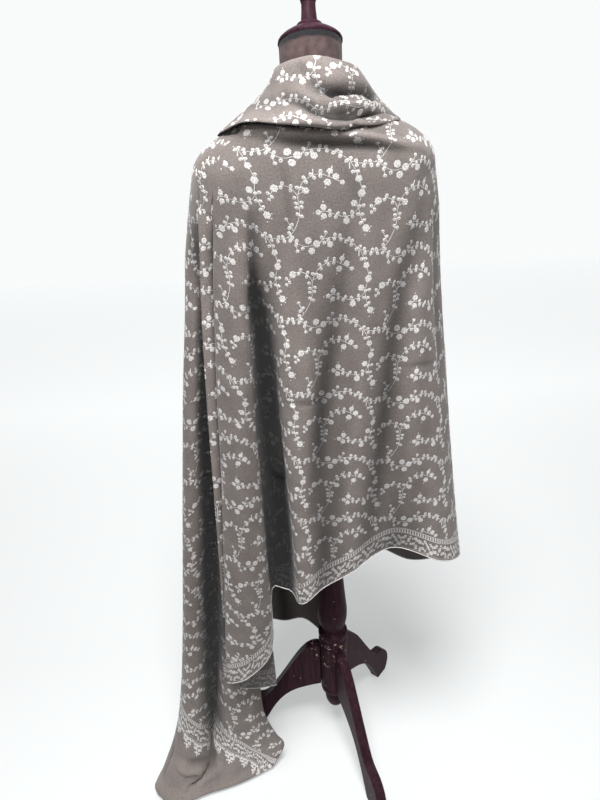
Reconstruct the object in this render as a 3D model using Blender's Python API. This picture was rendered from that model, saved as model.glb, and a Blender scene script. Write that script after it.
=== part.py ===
"""A pashmina shawl worn on a dress form with a turned wooden stand.

The back of the garment faces -Y.  The cloth is a thin wall through sections
worked out from the tables below: a table has a row for each height and a pair
of columns (across, depth) for each fold line, in millimetres from the axis of
the stand's post.  Lines are joined by smooth curves both ways.
"""

import math

import bmesh
import bpy
import numpy as np

MM = 0.001

# Driving dimensions, in metres
POST_X = 0.0876  # where the post's axis stands, so that the box is centred
POST_Y = 0.0204
WALL = 0.002  # thickness of the cloth's wall
SEAM = 0.0006  # gap between neighbouring stretches of cloth
FIT = 0.0003  # gap between pieces that touch
NECK_LEAN = math.radians(14)  # the neck cap slants down to the front
NECK_TOP = 1.6735  # height of the neck's top at the post's axis
LEG_THICKNESS = 0.025
HUB_RADIUS = 0.0358
FOOT_AZIMUTH = -69.7  # degrees, of the leg that points backwards
TURNED_SIDES = 28  # facets round a turned piece

# The yoke: rings round the shoulders, from the neck down.
# left and right are half widths, back and front are half depths, then heights.
YOKE_RINGS = (
    # left, right, back, front, z back, z left, z right, z front
    (78, 78, 70, 84, 1601, 1600, 1600, 1568),
    (116, 116, 88, 99, 1571, 1571, 1572, 1550),
    (160, 158, 102, 113, 1541, 1545, 1549, 1526),
    (200, 196, 111, 124, 1510, 1520, 1526, 1500),
    (219, 214, 117, 131, 1480, 1496, 1503, 1474),
    (229, 220, 121, 135, 1450, 1462, 1466, 1446),
    (238, 226, 124, 138, 1420, 1424, 1424, 1420),
)
YOKE_SQUARENESS = 2.5

# Where each fold line starts on the yoke, in degrees round from the back
PLEAT_AZIMUTHS = (-50.2, -49.4, -48.4, -39.5, -32.8, -27.5)
BACK_AZIMUTHS = (-24, -17.5, -8.2, 0, 13.2, 29.7, 52.8, 90, 127)
FRONT_AZIMUTHS = (143.6, 169, 188.5, 210, 219.5)
KNIFE_AZIMUTHS = (-53.1, -52.4, -51.7, -50.9)
LONG_AZIMUTHS = (-54.4, -56.5, -61, -70.5, -90, -112.8, -139.6)
DROP_AZIMUTHS = (232, 223, 213, 203, 195)

# The back, from the valley beside the pleat, round the right side
BACK_ROWS = (
    # height, foot of the pleat, valley, first ridge, hollow, middle, second hollow, second
    # ridge, right turn, corner
    (1340, -116, -122, -98, -120, -50, -131, 0, -130, 66, -128, 126, -118, 186, -87, 235, 2, 196, 92),
    (1220, -128, -116, -110, -111, -52, -138, -4, -133, 64, -131, 128, -120, 196, -89, 246, 4, 204, 98),
    (1080, -136, -110, -118, -98, -55, -144, -8, -134, 62, -133, 130, -119, 208, -93, 259, 5, 213, 103),
    (930, -138, -106, -114, -89, -62, -151, -12, -134, 58, -134, 131, -116, 221, -99, 274, 3, 222, 107),
    (790, -139, -104, -108, -85, -67, -158, -18, -133, 52, -133, 131, -111, 232, -106, 289, -3, 230, 110),
)
BACK_HEM = (
    # across, depth, height of each line at the hem
    (-141, -98, 600), (-110, -88, 612), (-68, -168, 613), (-24, -137, 640), (44, -132, 666),
    (128, -106, 704), (238, -116, 668), (309, -14, 604), (234, 112, 474),
)

# The pleat that laps over the left side; its first line is its folded edge
PLEAT_ROWS = (
    # height, fold, left slope, ridge, right edge
    (1340, -193, -97, -171, -113, -149, -122, -130, -124),
    (1220, -200, -105, -180, -124, -156, -133, -138, -128),
    (1080, -210, -114, -189, -135, -163, -145, -145, -132),
    (930, -218, -123, -197, -146, -172, -156, -147, -138),
    (790, -228, -132, -206, -155, -180, -165, -147, -142),
)
PLEAT_HEM = ((-258, -166, 396), (-232, -186, 398), (-196, -184, 412), (-149, -144, 452))
FOLD_SIZES = (0.006, 0.009, 0.011, 0.012, 0.013, 0.013)  # how deep the fold is, down the pleat
FOLD_TURN = ((1.6, 1.15), (0.2, 0.75))  # across and depth of its return, in fold sizes

# The layer that turns back under the pleat, wrong side out: its free edge
UNDER_ROWS = (
    # height, free edge
    (790, -164, -110),
    (700, -160, -111),
    (620, -156, -112),
    (540, -153, -114),
    (460, -150, -115),
    (410, -149, -116),
)
UNDER_HEM = ((-232, -146, 348), (-192, -134, 330), (-148, -118, 318))

# The small knife pleat between the two
KNIFE_ROWS = (
    # height, fold, inner
    (1340, -221, -74, -203, -88),
    (1220, -227, -80, -205, -92),
    (1080, -234, -90, -210, -99),
    (930, -239, -99, -216, -107),
    (790, -244, -107, -227, -112),
)
KNIFE_HEM = ((-252, -126, 560), (-232, -132, 556))
KNIFE_FOLDS = (0.0025, 0.0035, 0.004, 0.004, 0.004, 0.004)

# The long end: right edge, inner ridge, valley, outer ridge, left turn, far side, far end
LONG_ROWS = (
    # height, then the seven lines
    (1340, -182, -68, -202, -61, -222, -52, -238, -40, -253, -14, -240, 46, -184, 110),
    (1220, -166, -74, -198, -69, -230, -61, -251, -53, -267, -32, -254, 42, -196, 117),
    (1080, -164, -80, -202, -78, -241, -70, -268, -66, -287, -44, -271, 35, -214, 121),
    (930, -164, -84, -208, -86, -255, -74, -288, -82, -306, -58, -287, 30, -228, 124),
    (790, -166, -88, -214, -94, -267, -80, -304, -95, -323, -71, -300, 24, -238, 125),
    (640, -170, -94, -222, -104, -280, -88, -321, -110, -341, -83, -313, 12, -248, 121),
    (480, -178, -100, -234, -116, -294, -96, -338, -124, -361, -95, -328, -2, -257, 113),
    (320, -190, -104, -250, -130, -310, -106, -355, -136, -384, -107, -344, -18, -264, 102),
    (200, -186, -106, -256, -140, -320, -120, -374, -148, -408, -119, -358, -30, -270, 94),
    (120, -164, -100, -256, -144, -330, -138, -392, -162, -434, -132, -376, -38, -276, 88),
    (62, -146, -92, -262, -146, -340, -156, -408, -176, -458, -142, -394, -44, -282, 86),
)
LONG_HEM = (
    (-182, -112, 14), (-268, -147, 12), (-348, -170, 12), (-428, -196, 12), (-482, -154, 14),
    (-408, -46, 66), (-286, 84, 210),
)

# The front, from the right side across to the left
FRONT_ROWS = (
    # height, right fold, hollow, middle, left fold, left edge
    (1340, 146, 130, 58, 143, -46, 146, -128, 132, -158, 120),
    (1220, 152, 134, 60, 139, -44, 148, -130, 133, -164, 122),
    (1080, 156, 138, 60, 132, -44, 146, -132, 132, -170, 122),
    (930, 160, 144, 58, 128, -46, 146, -134, 130, -176, 120),
    (790, 166, 150, 58, 126, -48, 148, -136, 128, -182, 118),
)
FRONT_HEM = ((168, 154, 486), (60, 124, 556), (-48, 150, 540), (-136, 126, 500), (-188, 116, 470))

# The other short end, hanging down the left of the front
DROP_ROWS = (
    # height, left edge, first fold, hollow, second fold, right edge
    (1340, -200, 128, -166, 140, -131, 145, -94, 152, -64, 155),
    (1200, -208, 133, -170, 152, -130, 147, -88, 158, -46, 158),
    (1000, -216, 136, -174, 157, -130, 142, -80, 163, -30, 157),
    (780, -222, 135, -178, 157, -131, 138, -76, 163, -18, 154),
    (560, -227, 133, -181, 155, -132, 135, -74, 161, -10, 150),
)
DROP_HEM = (
    (-234, 128, 292), (-184, 146, 276), (-132, 128, 280), (-72, 148, 262), (-2, 138, 178),
)

# The collar: the shawl's doubled upper edge, round the neck.
COLLAR_LINES = (
    # azimuth, then (reach, height) of the upper fold, neck, shoulder, lip and its underside
    (0, 62, 1648, 79, 1620, 103, 1582, 119, 1550, 106, 1556),
    (20, 65, 1645, 84, 1618, 108, 1578, 124, 1542, 114, 1549),
    (45, 71, 1639, 93, 1611, 121, 1578, 146, 1549, 136, 1554),
    (65, 74, 1636, 97, 1611, 122, 1582, 154, 1552, 151, 1553),
    (90, 73, 1634, 97, 1611, 119, 1587, 147, 1561, 150, 1558),
    (125, 80, 1626, 104, 1600, 130, 1573, 155, 1545, 158, 1541),
    (155, 86, 1606, 108, 1576, 132, 1540, 149, 1498, 142, 1502),
    (180, 90, 1596, 112, 1564, 136, 1524, 149, 1478, 140, 1482),
    (205, 86, 1604, 106, 1574, 132, 1536, 149, 1492, 142, 1496),
    (235, 72, 1622, 98, 1594, 130, 1569, 156, 1543, 160, 1539),
    (270, 60, 1639, 80, 1611, 118, 1580, 166, 1546.5, 171, 1543),
    (290, 60, 1641, 80, 1614, 116, 1582, 167, 1546, 162, 1546),
    (308, 60, 1643, 79, 1616, 110, 1584, 152, 1557, 143, 1560),
    (332, 60, 1646, 78, 1618, 104, 1583, 129, 1552, 117, 1557),
)
NECK_TURN = (-0.0043, -0.018)  # reach and height of the part turned down inside the neck

# The dress form, from the top of the neck down
FORM_SIDES = 32
FORM_RINGS = (
    # half width, back, front, z back, z side, z front
    (53.5, 53.5, 53.5, 1686.5, 1673.2, 1659.9),
    (53.5, 53.5, 54, 1650, 1648, 1642),
    (53.5, 53.5, 54, 1616, 1614, 1608),
    (62, 57, 60, 1604, 1605, 1596),
    (78, 62, 68, 1590, 1597.4, 1574),
    (116, 74, 82, 1560, 1568.6, 1546),
    (158, 86, 94, 1526, 1543.6, 1518),
    (188, 95, 104, 1492, 1522, 1488),
    (197, 101, 112, 1458, 1500, 1454),
    (190, 106, 120, 1420, 1455, 1416),
    (172, 104, 127, 1370, 1385, 1366),
    (157, 99, 122, 1320, 1322, 1316),
    (138, 91, 104, 1250, 1250, 1250),
    (124, 85, 93, 1175, 1175, 1175),
    (138, 94, 96, 1095, 1095, 1095),
    (160, 105, 100, 1020, 1020, 1020),
    (169, 110, 102, 960, 960, 960),
    (166, 108, 100, 905, 905, 905),
    (158, 102, 95, 885, 885, 885),
)

# Turned pieces: radius and height in metres, top to bottom
CAP_PROFILE = (
    (0.0236, 0.0215), (0.0300, 0.0200), (0.0400, 0.0162), (0.0490, 0.0105), (0.0540, 0.0060),
    (0.0552, 0.0030), (0.0545, 0.0003),
)
FINIAL_PROFILE = (
    (0, 0.0990), (0.0090, 0.0965), (0.0140, 0.0910), (0.0165, 0.0830), (0.0160, 0.0750),
    (0.0135, 0.0680), (0.0120, 0.0620), (0.0123, 0.0520), (0.0132, 0.0420), (0.0142, 0.0340),
    (0.0165, 0.0315), (0.0215, 0.0300), (0.0238, 0.0268), (0.0236, 0.0218),
)
POST_PROFILE = (
    (0.060, 0.8847), (0.060, 0.8760), (0.056, 0.8720), (0.026, 0.8700), (0.0200, 0.8600),
    (0.0195, 0.6700), (0.0215, 0.6300), (0.0265, 0.5900), (0.0300, 0.5550), (0.0330, 0.5050),
    (0.0365, 0.4600), (0.0382, 0.4380), (0.0376, 0.4180), (0.0340, 0.3960), (0.0285, 0.3800),
    (0.0275, 0.3740), (0.0320, 0.3715), (0.0372, 0.3680), (0.0382, 0.3610), (0.0365, 0.3540),
    (0.0350, 0.3500), (0.0372, 0.3450), (0.0385, 0.3380), (0.0378, 0.3300), (0.0350, 0.3250),
)
HUB_PROFILE = (
    (0.0350, 0.3247), (HUB_RADIUS, 0.3225), (HUB_RADIUS, 0.1800), (0.0345, 0.1780),
    (0.0368, 0.1745), (0.0372, 0.1700), (0.0360, 0.1640), (0.0290, 0.1600), (0.0262, 0.1550),
    (0.0270, 0.1430), (0.0268, 0.1310), (0.0245, 0.1180), (0.0195, 0.1070), (0.0110, 0.1010),
    (0, 0.0995),
)

# The leg's side view in millimetres: reach from the axis and height
LEG_TOP = (
    (36.2, 315), (50, 316), (68, 306), (90, 281), (112, 246), (135, 205), (160, 162), (182, 126),
    (200, 106), (216, 100),
)
LEG_PAD = ((216, 100), (235, 94), (253, 76), (264, 48), (262, 22), (250, 0))
LEG_UNDER = (
    (208, 0), (200, 20), (188, 44), (172, 76), (152, 107), (130, 132), (104, 151), (72, 167),
    (36.2, 181),
)

COLOURS = {
    "cloth": ((0.268, 0.232, 0.212, 1.0), 0.85, 0.0),
    "wood": ((0.040, 0.017, 0.016, 1.0), 0.30, 0.0),
    "jersey": ((0.130, 0.090, 0.072, 1.0), 0.80, 0.0),
}


# --- Helpers -------------------------------------------------------------


def clear_scene():
    for item in list(bpy.data.objects):
        bpy.data.objects.remove(item, do_unlink=True)


def material(kind, name):
    colour, roughness, metallic = COLOURS[kind]
    finish = bpy.data.materials.new(f"{name}_{kind}")
    finish.use_nodes = True
    shader = finish.node_tree.nodes["Principled BSDF"]
    shader.inputs["Base Color"].default_value = colour
    shader.inputs["Roughness"].default_value = roughness
    shader.inputs["Metallic"].default_value = metallic
    return finish


def place(name, bm, kind, sharp=35):
    """Makes a named object of a mesh, shaded smooth, standing on the post's axis."""
    bmesh.ops.recalc_face_normals(bm, faces=bm.faces)
    mesh = bpy.data.meshes.new(name)
    bm.to_mesh(mesh)
    bm.free()
    mesh.shade_smooth()
    mesh.set_sharp_from_angle(angle=math.radians(sharp))
    item = bpy.data.objects.new(name, mesh)
    item.data.materials.append(material(kind, name))
    bpy.context.scene.collection.objects.link(item)
    item.parent = bpy.data.objects["stand_axis"]
    return item


def curve_through(knots, values, at):
    """Values on a smooth curve through the given ones: cubic pieces with mean slopes."""
    knots = np.asarray(knots, float)
    values = np.asarray(values, float)
    steps = np.diff(knots)
    slopes = np.diff(values, axis=0) / steps[:, None]
    tangents = np.empty_like(values)
    share = (steps[:-1] / (steps[:-1] + steps[1:]))[:, None]
    tangents[1:-1] = slopes[:-1] * (1 - share) + slopes[1:] * share
    tangents[0] = 1.5 * slopes[0] - 0.5 * tangents[1]
    tangents[-1] = 1.5 * slopes[-1] - 0.5 * tangents[-2]
    piece = np.clip(np.searchsorted(knots, at, side="right") - 1, 0, len(steps) - 1)
    step = steps[piece][:, None]
    t = ((at - knots[piece]) / steps[piece])[:, None]
    return (
        values[piece] * (1 + 2 * t) * (1 - t) ** 2
        + values[piece + 1] * t * t * (3 - 2 * t)
        + tangents[piece] * step * t * (1 - t) ** 2
        - tangents[piece + 1] * step * t * t * (1 - t)
    )


def spacing(points):
    """How far along it each row of a net lies, from 0 to 1, by its mean length."""
    lengths = np.linalg.norm(np.diff(points, axis=0), axis=2).mean(axis=1)
    along = np.concatenate([[0], np.cumsum(lengths)])
    return along / along[-1]


def points_on(net, u, v):
    """Points on the smooth sheet through a net, at each of v down and u across."""
    down = spacing(net)
    across = spacing(net.transpose(1, 0, 2))
    fine = curve_through(down, net.reshape(len(net), -1), v)
    fine = fine.reshape(len(v), net.shape[1], 3).transpose(1, 0, 2)
    grid = curve_through(across, fine.reshape(len(fine), -1), u)
    return grid.reshape(len(u), len(v), 3).transpose(1, 0, 2)


def sheet(net, columns, rows, lines=(0, -1), first_row=0):
    """A grid of points, and its normals, on the sheet through a net: between two of its
    lines and from one of its rows down, kept half a seam away from what it joins there."""
    net = np.asarray(net, float)
    across = spacing(net.transpose(1, 0, 2))
    down = spacing(net)
    width = np.linalg.norm(np.diff(net, axis=1), axis=2).sum(axis=1).mean()
    height = np.linalg.norm(np.diff(net, axis=0), axis=2).sum(axis=0).mean()
    last = lines[1] % net.shape[1]
    left = across[lines[0]] + (SEAM / 2 / width if lines[0] else 0)
    right = across[last] - (SEAM / 2 / width if last < net.shape[1] - 1 else 0)
    top = down[first_row] + (1.5 * SEAM / height if first_row else 0)
    u = np.linspace(left, right, columns)
    v = np.linspace(top, 1, rows)
    step = 1e-4
    side = points_on(net, u + step, v) - points_on(net, u - step, v)
    fall = points_on(net, u, v + step) - points_on(net, u, v - step)
    normal = np.cross(side, fall)
    normal /= np.linalg.norm(normal, axis=2, keepdims=True)
    return points_on(net, u, v), normal


def ring_normals(grid):
    across = np.roll(grid, -1, axis=1) - np.roll(grid, 1, axis=1)
    normal = np.cross(across, np.gradient(grid, axis=0))
    return normal / np.linalg.norm(normal, axis=2, keepdims=True)


def wall(name, grid, normal, ring=False):
    """A closed wall of even thickness about a grid of points."""
    rows, columns = grid.shape[:2]
    out = normal * WALL / 2
    bm = bmesh.new()
    faces = []
    layers = []
    for side in (grid + out, grid - out):
        layers.append([[bm.verts.new(p) for p in line] for line in side])
    count = columns if ring else columns - 1
    for j in range(rows - 1):
        for i in range(count):
            k = (i + 1) % columns
            for layer, turn in zip(layers, (1, -1)):
                corners = [layer[j][i], layer[j][k], layer[j + 1][k], layer[j + 1][i]]
                faces.append(bm.faces.new(corners[::turn]))
    edges = [[(j, i) for i in range(columns)] + ([(j, 0)] if ring else []) for j in (0, rows - 1)]
    if not ring:
        edges += [[(j, i) for j in range(rows)] for i in (0, columns - 1)]
    first, second = layers
    for path in edges:
        for (ja, ia), (jb, ib) in zip(path, path[1:]):
            bm.faces.new((first[ja][ia], first[jb][ib], second[jb][ib], second[ja][ia]))
    return place(name, bm, "cloth")


def turned(name, profile, kind, sides=TURNED_SIDES, centre=(0, 0), sharp=35):
    """A solid turned about an upright axis from (radius, height) points, top to bottom."""
    bm = bmesh.new()
    rings = []
    for radius, height in profile:
        if radius == 0:
            rings.append([bm.verts.new((centre[0], centre[1], height))])
            continue
        ring = []
        for i in range(sides):
            angle = 2 * math.pi * i / sides
            x = centre[0] + radius * math.cos(angle)
            y = centre[1] + radius * math.sin(angle)
            ring.append(bm.verts.new((x, y, height)))
        rings.append(ring)
    for upper, lower in zip(rings, rings[1:]):
        join_rings(bm, upper, lower)
    for end in (rings[0], rings[-1]):
        if len(end) > 1:
            bm.faces.new(end)
    return place(name, bm, kind, sharp)


def join_rings(bm, upper, lower):
    sides = max(len(upper), len(lower))
    for i in range(sides):
        k = (i + 1) % sides
        above = [upper[n % len(upper)] for n in (i, k)]
        below = [lower[n % len(lower)] for n in (k, i)]
        bm.faces.new(dict.fromkeys(above + below))


# --- Lines of the drape --------------------------------------------------


def yoke_point(ring, azimuth):
    """A point on one ring of the yoke, that many degrees round from the back."""
    left, right, back, front, z_back, z_left, z_right, z_front = ring
    turn = math.radians(azimuth)
    side = abs(math.sin(turn)) ** (2 / YOKE_SQUARENESS)
    fore = abs(math.cos(turn)) ** (2 / YOKE_SQUARENESS)
    sideways = math.sin(turn) > 0
    behind = math.cos(turn) > 0
    x = side * (right if sideways else -left)
    y = fore * (-back if behind else front)
    reach = side ** 2
    z_side = z_right if sideways else z_left
    z_middle = z_back if behind else z_front
    return (x * MM, y * MM, (z_middle + (z_side - z_middle) * reach) * MM)


def table_net(tables):
    """A net from tables side by side: a height, then pairs of across and depth."""
    net = []
    for rows in zip(*tables):
        line = []
        for height, *pairs in rows:
            line += [(x * MM, y * MM, height * MM) for x, y in zip(pairs[::2], pairs[1::2])]
        net.append(line)
    return net


def turned_under(line, size):
    """A row with points added before its first, for the cloth that turns back under."""
    x, y, z = line[0]
    return [(x + size * across, y + size * depth, z) for across, depth in FOLD_TURN] + list(line)


def hanging_net(azimuths, tables, hems, folds=None):
    """A net that starts with the two lowest rings of the yoke and ends at the hem."""
    net = table_net(tables)
    net.append([(x * MM, y * MM, z * MM) for hem in hems for x, y, z in hem])
    if folds:
        net = [turned_under(line, size) for line, size in zip(net, folds)]
    return [[yoke_point(ring, a) for a in azimuths] for ring in YOKE_RINGS[-2:]] + net


def outer_net():
    """Pleat, back and front: one run of cloth from the folded edge round to the front."""
    azimuths = PLEAT_AZIMUTHS + BACK_AZIMUTHS + FRONT_AZIMUTHS
    tables = (PLEAT_ROWS, BACK_ROWS, FRONT_ROWS)
    return hanging_net(azimuths, tables, (PLEAT_HEM, BACK_HEM, FRONT_HEM), FOLD_SIZES)


# --- Cloth ---------------------------------------------------------------


def make_yoke():
    azimuths = np.linspace(-180, 180, 45)[:-1]
    grid = np.array([[yoke_point(ring, a) for a in azimuths] for ring in YOKE_RINGS])
    wall("yoke", grid, ring_normals(grid), ring=True)


def make_outer_cloth():
    net = outer_net()
    foot = len(PLEAT_AZIMUTHS)
    corner = foot + len(BACK_AZIMUTHS) - 1
    wall("left_pleat", *sheet(net, 17, 15, (0, foot), 1))
    wall("back_panel", *sheet(net, 28, 15, (foot, corner), 1))
    wall("front_wrap", *sheet(net, 14, 15, (corner, -1), 1))


def make_under_pleat():
    outer = np.array(outer_net())
    edge = points_on(outer, np.array([0.0]), np.linspace(0.4, 1, 80))[:, 0]
    heights, across, depths = edge[::-1].T[[2, 0, 1]]
    net = []
    for height, x, y in UNDER_ROWS:
        free = np.array((x, y, height)) * MM
        fold = np.array((*(np.interp(free[2], heights, line) for line in (across, depths)), free[2]))
        fold += (free - fold) / np.linalg.norm(free - fold) * 2 * SEAM
        net.append([fold, (fold + free) / 2, free])
    net.append(np.array(UNDER_HEM) * MM)
    wall("inner_pleat", *sheet(net, 6, 10))


def make_knife_pleat():
    net = hanging_net(KNIFE_AZIMUTHS, (KNIFE_ROWS,), (KNIFE_HEM,), KNIFE_FOLDS)
    wall("small_pleat", *sheet(net, 8, 14, first_row=1))


def make_long_end():
    net = hanging_net(LONG_AZIMUTHS, (LONG_ROWS,), (LONG_HEM,))
    wall("long_end", *sheet(net, 22, 22, first_row=1))


def make_drop():
    on_yoke = np.array(hanging_net(DROP_AZIMUTHS, (DROP_ROWS,), (DROP_HEM,))[0])
    out = on_yoke * (1, 1, 0)
    out /= np.linalg.norm(out, axis=1, keepdims=True)
    net = [on_yoke + out * (WALL + 2 * SEAM)] + table_net((DROP_ROWS,)) + [np.array(DROP_HEM) * MM]
    wall("front_end", *sheet(net, 12, 15))


def wide_ring(lines, margin=3):
    """Lines round a ring, with a few repeated at each end."""
    return np.concatenate([lines[:, -margin:], lines, lines[:, :margin]], axis=1)


def collar_lines():
    lines = []
    for azimuth, *pairs in COLLAR_LINES:
        turn = math.radians(azimuth)
        out = np.array((math.sin(turn), -math.cos(turn), 0))
        line = []
        for reach, height in zip(pairs[::2], pairs[1::2]):
            line.append(out * reach * MM + np.array((0, 0, height * MM)))
        inner = line[0] + out * NECK_TURN[0] + np.array((0, 0, NECK_TURN[1]))
        lines.append([inner, *line])
    return np.array(lines).transpose(1, 0, 2)


def make_collar():
    lines = collar_lines()
    azimuths = [line[0] for line in COLLAR_LINES]
    turns = [a - 360 for a in azimuths[-3:]] + azimuths + [a + 360 for a in azimuths[:3]]
    wide = wide_ring(lines).transpose(1, 0, 2).reshape(len(turns), -1)
    at = np.linspace(0, 360, 41)[:-1]
    rings = curve_through(turns, wide, at).reshape(len(at), len(lines), 3).transpose(1, 0, 2)
    fine = curve_through(spacing(rings), rings.reshape(len(rings), -1), np.linspace(0, 1, 13))
    fine = fine.reshape(13, len(at), 3)
    wall("collar", fine, ring_normals(fine), ring=True)


# --- Dress form and stand --------------------------------------------------


def make_form():
    bm = bmesh.new()
    rings = []
    for side, back, front, z_back, z_side, z_front in FORM_RINGS:
        ring = []
        for azimuth in np.linspace(0, 360, FORM_SIDES + 1)[:-1]:
            turn = math.radians(azimuth)
            fore = abs(math.cos(turn))
            behind = math.cos(turn) > 0
            z_middle = z_back if behind else z_front
            # The top ring is flat; the others are rounded where they cross the sides
            height = z_side + (z_middle - z_side) * fore ** (2 if rings else 1)
            x = side * math.sin(turn)
            y = fore * (-back if behind else front)
            ring.append(bm.verts.new((x * MM, y * MM, height * MM)))
        rings.append(ring)
    for upper, lower in zip(rings, rings[1:]):
        join_rings(bm, upper, lower)
    bm.faces.new(rings[0])
    bm.faces.new(rings[-1])
    place("dress_form", bm, "jersey")


def tilt_with_neck(item):
    """Turns a piece made upright at the origin onto the slanting top of the neck."""
    item.location = (0, 0, NECK_TOP)
    item.rotation_euler = (-NECK_LEAN, 0, 0)


def make_neck_cap():
    tilt_with_neck(turned("neck_cap", CAP_PROFILE, "wood"))
    tilt_with_neck(turned("finial", FINIAL_PROFILE, "wood"))


def make_post():
    turned("post", POST_PROFILE, "wood")
    turned("hub", HUB_PROFILE, "wood")


def leg_outline():
    """The leg's side view as (reach, height): along the top, round the pad, back below."""
    outline = []
    for chain, count in ((LEG_TOP, 22), (LEG_PAD, 8), (LEG_UNDER, 12)):
        chain = np.array(chain, float) * MM
        lengths = np.linalg.norm(np.diff(chain, axis=0), axis=1)
        knots = np.concatenate([[0], np.cumsum(lengths)])
        outline += list(curve_through(knots, chain, np.linspace(0, knots[-1], count)))
    kept = [outline[0]]
    for point in outline[1:]:
        if np.linalg.norm(point - kept[-1]) > 0.5 * MM:
            kept.append(point)
    return kept


def make_leg(name, azimuth):
    bm = bmesh.new()
    half = LEG_THICKNESS / 2
    sides = [[bm.verts.new((r, w, z)) for r, z in leg_outline()] for w in (-half, half)]
    first, second = sides
    bm.faces.new(first)
    bm.faces.new(second[::-1])
    for i in range(len(first)):
        k = (i + 1) % len(first)
        bm.faces.new((first[i], first[k], second[k], second[i]))
    item = place(name, bm, "wood")
    item.rotation_euler = (0, 0, math.radians(azimuth))


clear_scene()
axis = bpy.data.objects.new("stand_axis", None)
axis.location = (POST_X, POST_Y, 0)
bpy.context.scene.collection.objects.link(axis)
make_form()
make_neck_cap()
make_post()
for number, name in enumerate(("leg_back", "leg_right", "leg_left")):
    make_leg(name, FOOT_AZIMUTH + 120 * number)
make_yoke()
make_outer_cloth()
make_under_pleat()
make_knife_pleat()
make_long_end()
make_drop()
make_collar()
bpy.context.view_layer.update()
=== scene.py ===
"""Looks for the pashmina shawl on its dress form.

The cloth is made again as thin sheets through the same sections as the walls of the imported
model, with the smaller creases, the embroidery and the rolled edge added.  Lengths in the
tables are in millimetres from the axis of the stand's post, as in the model's own source.
"""

import math

import bpy
import numpy as np
from mathutils import Matrix, Vector
from mathutils.bvhtree import BVHTree


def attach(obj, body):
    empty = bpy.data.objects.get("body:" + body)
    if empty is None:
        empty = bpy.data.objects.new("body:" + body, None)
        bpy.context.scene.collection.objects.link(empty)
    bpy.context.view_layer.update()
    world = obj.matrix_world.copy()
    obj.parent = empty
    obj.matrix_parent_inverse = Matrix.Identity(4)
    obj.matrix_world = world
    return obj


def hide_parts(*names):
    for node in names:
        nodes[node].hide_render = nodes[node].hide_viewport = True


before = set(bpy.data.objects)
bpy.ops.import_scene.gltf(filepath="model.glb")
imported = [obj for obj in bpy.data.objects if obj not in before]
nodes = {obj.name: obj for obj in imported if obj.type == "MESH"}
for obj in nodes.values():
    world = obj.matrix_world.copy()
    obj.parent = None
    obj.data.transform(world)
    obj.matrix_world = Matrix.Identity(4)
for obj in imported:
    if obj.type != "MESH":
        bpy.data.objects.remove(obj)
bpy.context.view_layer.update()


# ---- Dress form --------------------------------------------------------------------------
# A padded torso shell under stretch jersey, of which only the neck shows. The jersey is a
# plain knit, drawn tight, rubbed paler below the cap's rim, with a painted shadow just
# under the rim.


def socket(node, name):
    """A node's input of that name; where several have it, the one that is in use."""
    found = [s for s in node.inputs if s.name == name]
    return next((s for s in found if s.enabled), found[0])


def add(tree, kind, inputs=None, **settings):
    """Adds a node to a tree and sets or links its inputs by name or number."""
    node = tree.nodes.new(kind)
    for name, value in settings.items():
        setattr(node, name, value)
    for name, value in (inputs or {}).items():
        target = node.inputs[name] if isinstance(name, int) else socket(node, name)
        if isinstance(value, bpy.types.NodeSocket):
            tree.links.new(value, target)
        else:
            target.default_value = value
    return node


def new_material(name, roughness, sheen=0.0, **more):
    """A material with its tree and shader; further values go on the inputs of their names."""
    finish = bpy.data.materials.new(name)
    finish.use_nodes = True
    shader = finish.node_tree.nodes["Principled BSDF"]
    values = {"Roughness": roughness, "Sheen Weight": sheen, "Sheen Roughness": 0.5}
    values |= {title.replace("_", " "): value for title, value in more.items()}
    for title, value in values.items():
        shader.inputs[title].default_value = value
    return finish, finish.node_tree, shader


def noise(tree, place, scale, detail=3.0, roughness=0.55):
    inputs = {"Vector": place, "Scale": scale, "Detail": detail, "Roughness": roughness}
    return add(tree, "ShaderNodeTexNoise", inputs).outputs["Fac"]


def ramp(tree, value, low, high, to_low=0.0, to_high=1.0):
    """A value spread from one range to another, and kept inside it."""
    inputs = {"Value": value, "From Min": low, "From Max": high, "To Min": to_low, "To Max": to_high}
    return add(tree, "ShaderNodeMapRange", inputs).outputs["Result"]


def blend(tree, share, first, second):
    """A colour between two others, each four numbers or a colour socket."""
    inputs = {0: share, 6: first, 7: second}
    return add(tree, "ShaderNodeMix", inputs, data_type="RGBA").outputs[2]


def bump(tree, shader, height, distance, strength=1.0):
    inputs = {"Height": height, "Distance": distance, "Strength": strength}
    tree.links.new(add(tree, "ShaderNodeBump", inputs).outputs["Normal"], shader.inputs["Normal"])


def plus(tree, first, second):
    return add(tree, "ShaderNodeMath", {0: first, 1: second}, operation="ADD").outputs[0]


def times(tree, first, second):
    return add(tree, "ShaderNodeMath", {0: first, 1: second}, operation="MULTIPLY").outputs[0]


JERSEY_DARK = (0.056, 0.032, 0.031, 1)
JERSEY_RUBBED = (0.155, 0.100, 0.094, 1)
RIM_SHADOW = (0.006, 0.005, 0.009, 1)
RUBBED_FROM = 1.60
SHADOW_FROM = 1.671
RIM = 1.675  # height of the cap's rim
RIM_SLOPE = 0.2493  # it is lower in front

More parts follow.
